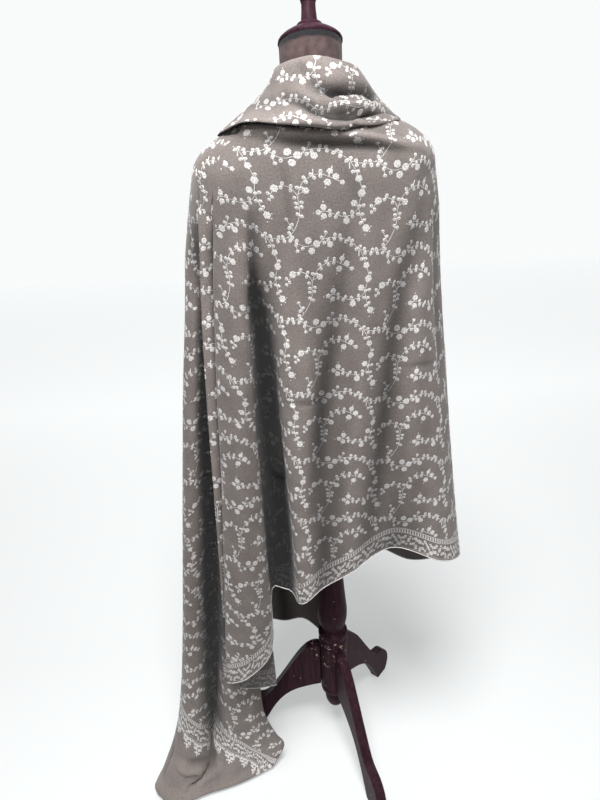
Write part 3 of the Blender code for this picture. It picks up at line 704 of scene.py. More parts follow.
UNDER_ROWS = (
    # height and the free edge
    (790, -164, -110), (700, -160, -111), (620, -156, -112), (540, -153, -114), (460, -150, -115),
    (410, -149, -116),
)
UNDER_HEM = ((-232, -146, 348), (-192, -134, 330), (-148, -118, 318))
UNDER_PITCH = (0.006, 0.007)  # of the columns and rows of its grid
KNIFE_AZIMUTHS = (-57.5, -57, -56, -43)
KNIFE_ROWS = (
    # height, fold, inner
    (1340, -216, -78, -178, -74),
    (1220, -226, -83, -188, -79),
    (1080, -233, -93, -196, -85),
    (930, -239, -101, -203, -91),
    (790, -244, -109, -214, -99),
)
KNIFE_HEM = ((-252, -126, 560), (-232, -132, 556))
KNIFE_FOLDS = (0.0025, 0.0035, 0.004, 0.004, 0.004, 0.004)
KNIFE_OUT = (1.006, 1.006, 1.006, 0.975)  # its top's share of the way out to the yoke's ring
KNIFE_START = (0.975, 0.95, 0.03)  # it starts further in, across and deep, and higher
KNIFE_PITCH = (0.005, 0.008)
KNIFE_PLACE = 0.31  # left of the centre on the flat cloth
KNIFE_BEHIND = 0.014

fold_edge = wrap_grid[:, 0][::-1]
under_net = []
for height, x, y in UNDER_ROWS:
    free = np.array((x, y, height)) * MM
    fold = np.array([np.interp(free[2], fold_edge[:, 2], fold_edge[:, n]) for n in range(3)])
    under_net.append([fold + (0, 0.001, 0), (fold + free) / 2, free])
under_net.append(np.array(UNDER_HEM) * MM)
under_grid = fine_grid(np.array(under_net), *UNDER_PITCH)
under_across, under_down = measured(under_grid)
under_flat = paired(-under_across, under_down[-1] - under_down)
under_edge = paired(under_across[-1], under_down[-1] - under_down)
under_mesh = grid_mesh("under_sheet", under_grid, under_flat, under_edge)
under = thick_cloth("inner_layer", under_mesh.copy(), wrong_side, right_side)
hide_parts("inner_pleat")

knife_hanging = hanging_rows((KNIFE_ROWS,), (KNIFE_HEM,), KNIFE_FOLDS)
knife_top = [yoke_point(YOKE_RINGS[-1], a) for a in KNIFE_AZIMUTHS]
across, deep, higher = KNIFE_START
knife_start = [(x * across, y * deep, z + higher) for x, y, z in knife_top]
knife_top = [(x * share, y * share, z) for (x, y, z), share in zip(knife_top, KNIFE_OUT)]
knife_grid = fine_grid(np.array([knife_start, knife_top] + knife_hanging), *KNIFE_PITCH)
knife_across, knife_down = measured(knife_grid)
knife_flat = paired(knife_across - KNIFE_PLACE, -knife_down)
knife_edge = paired(knife_across[-1], knife_down[-1] - knife_down)
# Painted shadow of the left pleat's fold on the knife pleat
painted_shadow = behind_fold(knife_grid, KNIFE_BEHIND)
knife_mesh = grid_mesh("knife_sheet", knife_grid, knife_flat, knife_edge, painted_shade=painted_shadow)
knife = thick_cloth("knife_pleat", knife_mesh.copy(), right_side, wrong_side)
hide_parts("small_pleat")


# ---- Front end ---------------------------------------------------------------------------
# The other short end of the same cloth, which hangs down the left of the front, over the
# wrap, from under the collar. Its folds are like those of the back.

DROP_AZIMUTHS = (195, 203, 213, 223, 232)
DROP_ROWS = (
    # height, right edge, second fold, hollow, first fold, left edge
    (1340, -64, 155, -94, 152, -131, 145, -166, 140, -200, 128),
    (1200, -46, 158, -88, 158, -130, 147, -170, 152, -208, 133),
    (1000, -30, 157, -80, 163, -130, 142, -174, 157, -216, 136),
    (780, -18, 154, -76, 163, -131, 138, -178, 157, -222, 135),
    (560, -10, 150, -74, 161, -132, 135, -181, 155, -227, 133),
)
DROP_HEM = (
    (-2, 138, 178), (-72, 148, 262), (-132, 128, 280), (-184, 146, 276), (-234, 128, 292),
)
DROP_LIFT = (0.0014, 0.0020, 0.0026, 0.0032)  # off the wrap, down the last rings of the yoke
DROP_PITCH = (0.008, 0.008)
DROP_PLACE = 1.2  # right of the centre on the flat cloth
BARE_STRIP = 0.11  # of plain cloth below the border of a short end
DROP_CREASES = (
    ("front", 3.0, 12, (-110, 1300), (-106, 1150), (-100, 980)),
    ("front", 2.5, 12, (-150, 1000), (-154, 840), (-158, 660)),
    ("front", 2.0, 10, (-50, 900), (-46, 700), (-42, 480)),
)

drop_net = []
for ring, lift in zip(YOKE_RINGS[3:], DROP_LIFT):
    points = np.array([yoke_point(ring, a) for a in DROP_AZIMUTHS])
    out = points * (1, 1, 0)
    out /= np.linalg.norm(out, axis=1, keepdims=True)
    drop_net.append(points + out * lift + (0, 0, lift / 2))
drop_net = np.array(drop_net + hanging_rows((DROP_ROWS,), (DROP_HEM,)))
drop_grid = fine_grid(drop_net, *DROP_PITCH)
for values in DROP_CREASES:
    drop_grid = crease(drop_grid, *values)
drop_across, drop_down = measured(drop_grid)
drop_flat = paired(drop_across + DROP_PLACE, -drop_down)
drop_edge = paired(drop_across[-1], drop_down[-1] - drop_down - BARE_STRIP)
drop_mesh = grid_mesh("drop_sheet", drop_grid, drop_flat, drop_edge)
drop = thick_cloth("front_end_cloth", drop_mesh.copy(), right_side, wrong_side)
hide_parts("front_end")


# ---- Collar ------------------------------------------------------------------------------
# The shawl's upper edge, doubled over and laid round the neck, with a soft rolled lip where
# it folds. Nothing holds it but its own weight.

COLLAR_LINES = (
    # azimuth, then (reach, height) of the upper fold, neck, shoulder, lip and its underside;
    # on the right the lip is pressed flat and runs out on the shoulder
    (0, 62, 1648, 79, 1620, 103, 1582, 117, 1544, 104, 1550),
    (20, 65, 1645, 84, 1618, 107, 1577, 119, 1540, 107, 1545),
    (45, 71, 1639, 93, 1611, 119, 1576, 131, 1553, 134, 1540.5),
    (65, 74, 1636, 97, 1611, 119, 1582, 141, 1557, 151, 1548.5),
    (90, 73, 1634, 97, 1611, 118, 1587, 142, 1562, 151, 1554.5),
    (125, 80, 1626, 104, 1600, 130, 1573, 155, 1545, 160, 1540),
    (155, 86, 1606, 108, 1576, 132, 1540, 149, 1498, 142, 1502),
    (180, 90, 1596, 112, 1564, 136, 1524, 149, 1478, 140, 1482),
    (205, 86, 1604, 106, 1574, 132, 1536, 149, 1492, 142, 1496),
    (235, 72, 1622, 98, 1594, 130, 1569, 156, 1543, 160, 1539),
    (270, 60, 1639, 80, 1611, 118, 1580, 166, 1546.5, 171, 1543),
    (290, 60, 1641, 80, 1614, 116, 1582, 165, 1547, 160, 1548),
    (308, 60, 1643, 79, 1616, 110, 1584, 150, 1557, 143, 1559),
    (332, 60, 1646, 78, 1618, 104, 1583, 127, 1551, 113, 1556),
)
NECK_TURN = (-0.0043, -0.018)  # out and up from the upper fold to the edge inside the neck
COLLAR_ROWS = 34
COLLAR_COLUMNS = 171
COLLAR_PLACE = 0.3  # above the yoke's last ring on the flat cloth
COLLAR_REACH = 0.018  # over which its folds are judged
RIGHT_SHADE = 0.25  # painted shade on the right half, most of all on the pocket in its middle
POCKET_SHADE = 0.5
POCKET = ((0.05, 0.055), (1.595, 0.016))  # its place and size across, and in height
COLLAR_CREASES = (
    ("back", 22.0, 12, (-12, 1612), (8, 1600), (26, 1594), (45, 1592), (72, 1592), (108, 1591),
     (160, 1590)),
    ("back", -7.0, 4.5, (-12, 1603), (6, 1593), (16, 1583), (31, 1575), (55, 1571), (90, 1574),
     (145, 1576)),
    ("back", 14.0, 9, (-60, 1592), (-22, 1580), (2, 1567), (20, 1561), (46, 1557), (72, 1555), (106, 1556),
     (150, 1562)),
    ("back", -4.0, 8, (-60, 1568), (-20, 1556), (12, 1547), (50, 1543), (86, 1543), (116, 1549),
     (140, 1556)),
    ("back", 2.5, 10, (-120, 1590), (-70, 1584), (-30, 1600)),
    ("back", 2.0, 6, (-30, 1636), (-10, 1622), (2, 1604)),
    ("front", 3.0, 12, (-80, 1560), (-20, 1530), (60, 1540)),
    ("front", 2.5, 10, (60, 1600), (20, 1570), (-30, 1566)),
)

collar_net = []
for azimuth, *pairs in COLLAR_LINES:
    turn = math.radians(azimuth)
    out = np.array((math.sin(turn), -math.cos(turn), 0))
    line = [out * reach * MM + np.array((0, 0, z * MM)) for reach, z in zip(pairs[::2], pairs[1::2])]
    collar_net.append([line[0] + out * NECK_TURN[0] + np.array((0, 0, NECK_TURN[1])), *line])
azimuths = [line[0] for line in COLLAR_LINES]
# The three front lines are used at both ends, so that the collar closes smoothly there
turns = [a - 360 for a in azimuths[6:]] + azimuths[:9]
lines = np.array(collar_net[6:] + collar_net[:9])
rings = resampled(turns, lines, np.linspace(-180, 180, COLLAR_COLUMNS)).transpose(1, 0, 2)
collar_grid = resampled(along(rings), rings, np.linspace(0, 1, COLLAR_ROWS))
for values in COLLAR_CREASES:
    collar_grid = crease(collar_grid, *values)
collar_grid[:, -1] = collar_grid[:, 0]
collar_across, collar_down = measured(collar_grid)
collar_flat = paired(collar_across - collar_across[:, [COLLAR_COLUMNS // 2]], COLLAR_PLACE - collar_down)
collar_edge = paired(collar_across, collar_down[-1] - collar_down)
collar_normal = outward(collar_grid)
collar_normal[:, 0] = collar_normal[:, -1] = (collar_normal[:, 0] + collar_normal[:, -1]) / 2
(pocket_x, pocket_wide), (pocket_z, pocket_high) = POCKET
x, z = collar_grid[..., 0], collar_grid[..., 2]
pocket = np.exp(-((x - pocket_x) / pocket_wide) ** 2 - ((z - pocket_z) / pocket_high) ** 2)
# Painted shade on the collar's right half and on its pocket, as if lit from the left
painted_collar_shade = RIGHT_SHADE * rise(x, 0.0, 0.06) + POCKET_SHADE * pocket
collar_mesh = grid_mesh(
    "collar_sheet", collar_grid, collar_flat, collar_edge, 0, COLLAR_REACH, painted_collar_shade, collar_normal
)
collar = thick_cloth("collar_fold", collar_mesh.copy(), right_side, wrong_side)
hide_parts("collar")


# ---- Embroidery --------------------------------------------------------------------------
# White cotton, machine-sewn: wavy vines of small round paired leaves, rosettes in threes and
# sprigs, charted here on one repeat of the cloth and sewn all over it by one node tree.

STITCH = 0.0004  # how far thread stands above the cloth
LEAF = 0.0032
STEM = 0.0005  # half the width of a stem
SPIKE = 0.001  # and of a spike
PETAL_HEIGHT = 1.6 * STITCH
PETAL_OUT = 0.58  # of a rosette's radius
PETAL_SIZE = 2.6  # of its radius, shared by its petals
ROSETTE_EYE = 0.26
LEAF_RINGS = ((1.12, 0.94, 0.0), (0.36, 0.12, 1.4))  # length, width, height of its rim and slit
LEAF_OUT = 3.4  # millimetres from a stem
LEAF_SKEW = (-16, 20)  # degrees, of one pair and the next
LONE_LEAF_TURN = 1.2
ROSETTE_TURN = 0.7
REPEAT_ACROSS = (0.158, -0.0294)
REPEAT_DOWN = (0.0104, -0.1403)
STEMS = (
    # points of each stem in millimetres from the middle of the three rosettes
    (
        (0, 0), (8, 1), (16, 7), (31, 11), (42, 11), (51, 9), (60, 5), (72, -3), (80, -10), (88, -14),
        (97, -16), (111, -17), (118, -15), (126, -19), (138, -28), (148, -31), (158, -29.4),
    ),
    ((81, -11), (88, -25), (92, -37), (97, -55), (96, -66), (92, -83), (94, -96), (97, -107), (103, -117)),
    ((92, -84), (84, -93), (75, -96), (67, -97), (57, -94), (47, -90), (36, -86), (28, -88)),
    (
        (-30, -126), (-18, -117), (-10, -105), (-5, -95), (-2, -84), (-2, -74), (-1, -60), (3, -50),
        (9, -40), (19, -33), (30, -29), (38, -28), (46, -32), (56, -37), (67, -43),
    ),
    ((-2, -60), (-8, -50), (-15, -45), (-24, -43), (-33, -46), (-43, -57)),
    ((-1, -58), (12, -53)),
    ((-17, -116), (-22, -106), (-25, -97)),
    ((130, -22), (131, -30), (133, -37)),
    ((13, 4), (21, 6), (31, 0)),
    ((18, 8), (22, 13), (25, 18)),
)
SPIKES = (((25, -31), (27, -20)), ((51, -27), (55, -17)), ((80, -13), (80, -23)), ((49, -33), (51, -27)))
LEAF_PAIRS = (
    (39, 12), (49, 10), (61, 5), (68, 0), (79, -9), (90, -15), (102, -17), (111, -17), (124, -18),
    (132, -24), (88, -28), (96, -82), (94, -95), (97, -107), (81, -94), (70, -96), (56, -94), (45, -90),
    (-24, -122), (-21, -108), (-3, -91), (3, -48), (13, -36), (25, -31), (37, -28), (-10, -48),
    (-23, -43),
)
LONE_LEAVES = (
    # x, y, radius
    (17, 12, 3.0), (25, 20, 3.0), (21, 3, 3.0), (28, 7, 3.0), (142, -34, 3.2), (100, -53, 3.0),
    (-7, -63, 3.1), (-46, -54, 3.1), (-41, -60, 3.1), (-46, -64, 2.8), (-6, -72, 3.1), (2, -78, 3.1),
    (3, -71, 3.1), (-6, -79, 3.0), (-26, -96, 2.8), (133, -38, 3.0), (111, -116, 1.2),
    (109, -124, 1.2), (101, -129, 1.2), (36, -72, 1.3), (31, -99, 1.2), (19, -89, 1.2), (42, -50, 1.2),
)
ROSETTES = (
    # x, y, radius, petals
    (-6, 8, 6.6, 7), (8, 2, 6.8, 7), (-1, -9, 6.4, 7), (31, 0, 5.6, 6), (71, -104, 5.8, 6),
    (85, -77, 5.8, 6), (36, -80, 5.4, 6), (27, -88, 4.4, 5), (35, -94, 4.8, 5), (12, -53, 5.6, 6),
    (46, -42, 5.8, 6), (59, -34, 5.6, 6), (51, -25, 4.6, 5), (68, -43, 3.8, 5), (-35, -47, 6.8, 7),
    (97, -62, 6.4, 6), (103, -118, 6.6, 6), (93, -39, 5.4, 5),
)
VINE_REPEAT = 0.076
VINE_STEMS = (
    # the border's vine, from the hem up: x along the hem, y above it
    ((0, 17), (10, 27), (22, 32), (34, 27), (44, 17), (56, 11), (66, 12), (76, 17)),
    ((22, 32), (17, 22), (14, 13)),
    ((44, 17), (52, 27), (60, 31)),
)
VINE_PAIRS = ((6, 23), (14, 30), (25, 32), (35, 26), (43, 18), (52, 13), (62, 11), (71, 14), (0, 33))
VINE_LEAVES = (
    (30, 14, 3.0), (25, 19, 2.8), (69, 28, 3.0), (73, 34, 2.8), (39, 36, 2.8), (45, 32, 2.6),
)
VINE_ROSETTES = ((13, 12, 5.6, 6), (22, 17, 4.4, 5), (61, 30, 5.8, 6), (52, 34, 4.6, 5), (5, 6, 3.6, 5))
BUNCH_REPEAT = 0.042
THIN_LINE = (((0, -1.4), (42, -1.4)), ((0, -2.3), (42, -2.3)))  # two stitches wide
BUNCH_LEAVES = (
    # outside the thin line of the end's border, so y is below the hem of the long edge's
    (3, -7, 3.2), (8, -11, 2.8), (34, -11, 2.8), (39, -7, 3.2), (9, -21, 2.8), (33, -22, 2.8),
    (21, -38, 2.8), (14, -32, 2.6), (28, -31, 2.6), (10, -15, 2.6), (33, -16, 2.6),
)
BUNCH_ROSETTES = (
    (21, -10, 5.8, 6), (13, -8, 4.2, 5), (30, -8, 4.2, 5), (16, -20, 5.2, 6), (27, -21, 5.0, 6),
    (21, -30, 4.6, 5),
)


class Chart:
    """Flat embroidery in metres: faces of thread, raised a little above z = 0."""

    def __init__(self):
        self.points = []
        self.faces = []

    def petal(self, x, y, radius, turn=0.0, sides=6):
        """A small raised mound of satin stitch."""
        start = len(self.points)
        for i in range(sides):
            angle = turn + 2 * math.pi * i / sides
            self.points.append((x + radius * math.cos(angle), y + radius * math.sin(angle), 0.0))
        self.points.append((x, y, PETAL_HEIGHT))
        for i in range(sides):
            self.faces.append((start + i, start + (i + 1) % sides, start + sides))

    def rosette(self, x, y, radius, petals, turn=0.0):
        """Petals round a small eye."""
        reach = radius * PETAL_OUT
        for i in range(petals):
            angle = turn + 2 * math.pi * i / petals
            middle = (x + reach * math.cos(angle), y + reach * math.sin(angle))
            self.petal(*middle, radius * PETAL_SIZE / petals, angle)
        self.petal(x, y, radius * ROSETTE_EYE, turn, 5)

    def leaf(self, x, y, radius, turn, sides=8):
        """A rounded leaf worked from both sides, which leaves a slit along its middle."""
        start = len(self.points)
        for long, wide, height in LEAF_RINGS:
            for i in range(sides):
                angle = 2 * math.pi * i / sides
                forward = radius * long * math.cos(angle)
                beside = radius * wide * math.sin(angle)
                px = x + forward * math.cos(turn) - beside * math.sin(turn)
                py = y + forward * math.sin(turn) + beside * math.cos(turn)
                self.points.append((px, py, height * STITCH))
        for i in range(sides):
            k = (i + 1) % sides
            self.faces.append((start + i, start + k, start + sides + k, start + sides + i))

    def stem(self, path, half=STEM, step=0.005, height=1.0):
        """A ridge of thread along a smooth path of (x, y) points."""
        path = np.array(path, float)
        count = max(2, round(summed(steps_of(path))[-1] / step) + 1)
        path = smooth_line(path, count)
        ahead = np.gradient(path, axis=0)
        ahead /= np.linalg.norm(ahead, axis=1, keepdims=True)
        beside = np.stack([-ahead[:, 1], ahead[:, 0]], axis=1) * half
        start = len(self.points)
        for point, side in zip(path, beside):
            left = point + side
            right = point - side
            self.points += [(*left, 0.0), (*point, height * STITCH), (*right, 0.0)]
        for n in range(count - 1):
            for side in (0, 1):
                low = start + n * 3 + side
                self.faces.append((low, low + 1, low + 4, low + 3))

    def make(self, name):
        """The chart as an object, for the sewing tree to copy."""
        mesh = bpy.data.meshes.new(name)
        mesh.from_pydata(self.points, [], self.faces)
        return linked(name, mesh)


def stem_direction(stems, x, y):
    """Which way the nearest stem runs at a place."""
    best = None
    for path in stems:
        path = np.array(path, float)
        for a, b in zip(path, path[1:]):
            t = np.clip(np.dot((x, y) - a, b - a) / np.dot(b - a, b - a), 0, 1)
            gap = np.linalg.norm(a + (b - a) * t - (x, y))
            if best is None or gap < best[0]:
                best = (gap, math.atan2(*(b - a)[::-1]))
    return best[1]


def vine_chart(name, stems, pairs, leaves, rosettes, spikes=()):
    """A chart of stems with leaves in pairs, lone leaves and rosettes, from tables in mm."""
    chart = Chart()
    for path in stems:
        chart.stem(np.array(path) * MM)
    for path in spikes:
        chart.stem(np.array(path) * MM, half=SPIKE, height=1.5)
    for number, (x, y) in enumerate(pairs):
        way = stem_direction(stems, x, y)
        skew = math.radians(LEAF_SKEW[number % 2])
        for hand in (-1, 1):
            out = way + hand * math.radians(90) + skew
            middle = (x + LEAF_OUT * math.cos(out), y + LEAF_OUT * math.sin(out))
            chart.leaf(middle[0] * MM, middle[1] * MM, LEAF, out)
    for x, y, radius in leaves:
        chart.leaf(x * MM, y * MM, radius * MM, stem_direction(stems, x, y) + LONE_LEAF_TURN)
    for x, y, radius, petals in rosettes:
        chart.rosette(x * MM, y * MM, radius * MM, petals, x * ROSETTE_TURN)
    return chart.make(name)


field_chart = vine_chart("field_chart", STEMS, LEAF_PAIRS, LONE_LEAVES, ROSETTES, SPIKES)
border_chart = vine_chart("border_chart", VINE_STEMS, VINE_PAIRS, VINE_LEAVES, VINE_ROSETTES)
bunch_chart = vine_chart("bunch_chart", THIN_LINE, (), BUNCH_LEAVES, BUNCH_ROSETTES)

RUNG = 0.0062  # from one rung of the ladder to the next
RUNGS = 6
RUNG_HALF = 0.0016
RUNG_SHORT = 0.0012  # of the ladder's lines at both ends
LADDER = (0.0430, 0.0535)  # heights of its two lines above the hem
LINES = ((LADDER[0], 0.0011), (LADDER[1], 0.0011), (0.0046, 0.0005))  # height, half width
rung_chart = Chart()
line_chart = Chart()
for n in range(RUNGS):
    middle = (n + 0.5) * RUNG
    ends = ((middle, LADDER[0] + RUNG_SHORT), (middle, LADDER[1] - RUNG_SHORT))
    rung_chart.stem(ends, half=RUNG_HALF, step=0.01)
for height, half in LINES:
    line_chart.stem(((0, height), (RUNGS * RUNG, height)), half=half, step=0.006)
rung_chart = rung_chart.make("rung_chart")
line_chart = line_chart.make("line_chart")


NO_BORDER = -9.0  # lower than any place on a cloth


def new_tree(name, inputs):
    """A geometry tree with named inputs: the tree, what they are called inside, and their sockets."""
    tree = bpy.data.node_groups.new(name, "GeometryNodeTree")
    tree.interface.new_socket(name="Geometry", in_out="OUTPUT", socket_type="NodeSocketGeometry")
    names = {}
    for title, kind, default in inputs:
        item = tree.interface.new_socket(name=title, in_out="INPUT", socket_type=f"NodeSocket{kind}")
        if default is not None:
            item.default_value = default
        names[title] = item.identifier
    return tree, names, add(tree, "NodeGroupInput").outputs


def end_tree(tree, geometry, finish):
    """Smooth, real faces of one material as the tree's result."""
    smooth = add(tree, "GeometryNodeSetShadeSmooth", {"Geometry": geometry}).outputs["Geometry"]
    real = add(tree, "GeometryNodeRealizeInstances", {"Geometry": smooth}).outputs["Geometry"]
    inputs = {"Geometry": real, "Material": finish}
    done = add(tree, "GeometryNodeSetMaterial", inputs).outputs["Geometry"]
    add(tree, "NodeGroupOutput", {"Geometry": done})


def sewing_tree():
    """Lays copies of a flat chart in rows and columns and sews them on a cloth, by one of its
    UV maps, except where the cloth ends or, measured up from the hem, where a border is."""
    tree, names, given = new_tree("sew_on_cloth", (
        ("Chart", "Object", None),
        ("Cloth", "Object", None),
        ("Map", "String", "cloth"),
        ("Start", "Vector", None),
        ("Across", "Vector", None),
        ("Down", "Vector", None),
        ("Columns", "Int", 1),
        ("Rows", "Int", 1),
        ("Lowest", "Float", NO_BORDER),
        ("Lift", "Float", 0.0005),
        ("Thread", "Material", None),
    ))
    chart = add(tree, "GeometryNodeObjectInfo", {"Object": given["Chart"]}).outputs["Geometry"]
    cloth = add(tree, "GeometryNodeObjectInfo", {"Object": given["Cloth"]}).outputs["Geometry"]
    line = {"Count": given["Columns"], "Start Location": given["Start"], "Offset": given["Across"]}
    columns = add(tree, "GeometryNodeMeshLine", line).outputs["Mesh"]
    line = {"Count": given["Rows"], "Offset": given["Down"]}
    rows = add(tree, "GeometryNodeMeshLine", line).outputs["Mesh"]
    lattice = add(tree, "GeometryNodeInstanceOnPoints", {"Points": columns, "Instance": rows})
    lattice = add(tree, "GeometryNodeRealizeInstances", {"Geometry": lattice.outputs["Instances"]})
    copies = {"Points": lattice.outputs["Geometry"], "Instance": chart}
    copies = add(tree, "GeometryNodeInstanceOnPoints", copies).outputs["Instances"]
    flat = add(tree, "GeometryNodeRealizeInstances", {"Geometry": copies}).outputs["Geometry"]
    place = add(tree, "GeometryNodeInputPosition").outputs["Position"]

    def named(title):
        node = add(tree, "GeometryNodeInputNamedAttribute", {"Name": title}, data_type="FLOAT_VECTOR")
        return node.outputs["Attribute"]

    by_map = named(given["Map"])

    def sampled(value):
        """A value of the cloth at the place that a point of the chart has on the map."""
        inputs = {"Mesh": cloth, "Value": value, "UV Map": by_map, "Sample UV": place}
        return add(tree, "GeometryNodeSampleUVSurface", inputs, data_type="FLOAT_VECTOR").outputs

    def part(vector, axis):
        return add(tree, "ShaderNodeSeparateXYZ", {"Vector": vector}).outputs[axis]

    def less(value, limit):
        inputs = {"A": value, "B": limit}
        return add(tree, "FunctionNodeCompare", inputs, operation="LESS_THAN").outputs[0]

    def either(first, second):
        return add(tree, "FunctionNodeBooleanMath", {0: first, 1: second}, operation="OR").outputs[0]

    def stored(geometry, title, value, kind, domain):
        inputs = {"Geometry": geometry, "Name": title, "Value": value}
        node = add(tree, "GeometryNodeStoreNamedAttribute", inputs, data_type=kind, domain=domain)
        return node.outputs["Geometry"]

    spot = sampled(place)
    missed = add(tree, "FunctionNodeBooleanMath", {0: spot["Is Valid"]}, operation="NOT").outputs[0]
    bare = less(part(sampled(named("sewn"))["Value"], "X"), 0.5)
    on_border = less(part(sampled(named("edge"))["Value"], "Y"), given["Lowest"])
    gone = either(on_border, either(missed, bare))
    lift = plus(tree, part(place, "Z"), given["Lift"])
    off = {"Vector": sampled(named("outward"))["Value"], "Scale": lift}
    off = add(tree, "ShaderNodeVectorMath", off, operation="SCALE").outputs[0]
    sewn = add(tree, "ShaderNodeVectorMath", {0: spot["Value"], 1: off}, operation="ADD").outputs[0]
    marked = stored(flat, "gone", gone, "BOOLEAN", "POINT")
    marked = stored(marked, "cloth", place, "FLOAT2", "CORNER")
    # The thread takes the cloth's hollow value, so that it gets the same painted shade in the folds
    marked = stored(marked, "hollow", part(sampled(named("hollow"))["Value"], "X"), "FLOAT", "POINT")
    moved = add(tree, "GeometryNodeSetPosition", {"Geometry": marked, "Position": sewn})
    mark = add(tree, "GeometryNodeInputNamedAttribute", {"Name": "gone"}, data_type="BOOLEAN")
    kept = {"Geometry": moved.outputs["Geometry"], "Selection": mark.outputs["Attribute"]}
    kept = add(tree, "GeometryNodeDeleteGeometry", kept, domain="POINT")
    end_tree(tree, kept.outputs["Geometry"], given["Thread"])
    return tree, names


SEWING, SEWING_INPUTS = sewing_tree()


def made_by(tree, names, name, values):
    """A named piece made by a tree, of which the named inputs get these values."""
    item = linked(name, bpy.data.meshes.new(name))
    modifier = item.modifiers.new(tree.name, "NODES")
    modifier.node_group = tree
    for title, value in values.items():
        modifier[names[title]] = value
    return finished(item)


def cotton(name, dim, full):
    """Satin-stitched thread in small tufts, with painted shade on some of them, as if they stood less into
    the light.
    """
    finish, tree, shader = new_material(name, 0.65, sheen=0.15)
    place = add(tree, "ShaderNodeUVMap", uv_map="cloth").outputs["UV"]
    tufts = ramp(tree, noise(tree, place, 520.0, 1.0), 0.36, 0.58)
    tree.links.new(painted_fold_shading(tree, blend(tree, tufts, dim, full)), shader.inputs["Base Color"])
    return finish


thread = cotton("white_thread", (0.34, 0.32, 0.31, 1), (0.72, 0.70, 0.685, 1))
line_thread = cotton("line_thread", (0.33, 0.31, 0.30, 1), (0.55, 0.53, 0.51, 1))
# A darker copy of the thread, as painted shade, for the inner layer that hangs in the pleat's shade
painted_shade_thread = cotton("painted_shade_thread", (0.12, 0.108, 0.104, 1), (0.30, 0.28, 0.27, 1))


SPARE = 0.2  # beyond a sheet, above and below


def field_lattice(flat, anchor):
    """Start, steps and counts of the repeats that cover a sheet's flat coordinates."""
    low = flat.min(axis=(0, 1))
    high = flat.max(axis=(0, 1))
    first = math.floor((low[0] - anchor[0]) / REPEAT_ACROSS[0]) - 1
    columns = math.ceil((high[0] - anchor[0]) / REPEAT_ACROSS[0]) + 1 - first
    slope = abs(REPEAT_ACROSS[1]) / REPEAT_ACROSS[0]
    slack = slope * (high[0] - low[0]) + SPARE
    up = math.ceil((high[1] + slack - anchor[1]) / -REPEAT_DOWN[1])
    rows = math.ceil((high[1] - low[1] + 2 * slack) / -REPEAT_DOWN[1]) + 1
    start = (
        anchor[0] + first * REPEAT_ACROSS[0] - up * REPEAT_DOWN[0],
        anchor[1] + first * REPEAT_ACROSS[1] - up * REPEAT_DOWN[1],
        0.0,
    )
    return {
        "Start": start, "Across": (*REPEAT_ACROSS, 0.0), "Down": (*REPEAT_DOWN, 0.0),
        "Columns": columns, "Rows": rows, "Map": "cloth", "Chart": field_chart,
    }


def border_lattice(edge, chart, pitch):
    """Start, steps and count of a border's repeats along a sheet's hem."""
    low = edge[..., 0].min()
    count = math.ceil((edge[..., 0].max() - low) / pitch) + 2
    return {
        "Start": (low - pitch, 0.0, 0.0), "Across": (pitch, 0.0, 0.0), "Down": (0.0, 0.0, 0.0),
        "Columns": count, "Rows": 1, "Map": "edge", "Chart": chart,
    }


def sew(name, cloth, lattice, finish, lowest=NO_BORDER):
    """A named piece of embroidery, sewn on a cloth."""
    values = {"Cloth": cloth, **lattice, "Lowest": lowest, "Thread": finish}
    made_by(SEWING, SEWING_INPUTS, name, values)


ANCHOR = (-0.0266, 0.0825)  # flat coordinates of one repeat's three rosettes
COLLAR_ANCHOR = (-0.08, 0.2)
COLLAR_BARE = 0.004  # along its lip
LADDER_REPEAT = RUNGS * RUNG
CLOTHS = (
    # name, sheet it is sewn on, its flat and edge coordinates, whether a short end, thread
    ("back", wrap_mesh, wrap_flat, wrap_edge, False, thread, line_thread),
    ("long_end", long_mesh, long_flat, long_edge, True, thread, line_thread),
    ("knife_pleat", knife_mesh, knife_flat, knife_edge, False, thread, line_thread),
    ("inner_layer", under_mesh, under_flat, under_edge, False, painted_shade_thread, painted_shade_thread),
    ("front_end", drop_mesh, drop_flat, drop_edge, True, thread, line_thread),
)
for name, sheet, flat, edge, short_end, finish, line_finish in CLOTHS:
    cloth = linked(f"{name}_sheet", sheet)
    sew(f"{name}_embroidery", cloth, field_lattice(flat, ANCHOR), finish, BORDER)
    sew(f"{name}_vine", cloth, border_lattice(edge, border_chart, VINE_REPEAT), finish)
    sew(f"{name}_rungs", cloth, border_lattice(edge, rung_chart, LADDER_REPEAT), finish)
    sew(f"{name}_lines", cloth, border_lattice(edge, line_chart, LADDER_REPEAT), line_finish)
    if short_end:
        sew(f"{name}_bunches", cloth, border_lattice(edge, bunch_chart, BUNCH_REPEAT), finish)
    bpy.data.objects.remove(cloth)
cloth = linked("collar_sheet", collar_mesh)
sew("collar_embroidery", cloth, field_lattice(collar_flat, COLLAR_ANCHOR), thread, COLLAR_BARE)
for item in (cloth, field_chart, border_chart, bunch_chart, rung_chart, line_chart):
    bpy.data.objects.remove(item)


# ---- Rolled edge -------------------------------------------------------------------------
# The cloth's own edge, rolled to a narrow cord and overcast in pale thread, made by one node
# tree along each edge that shows.


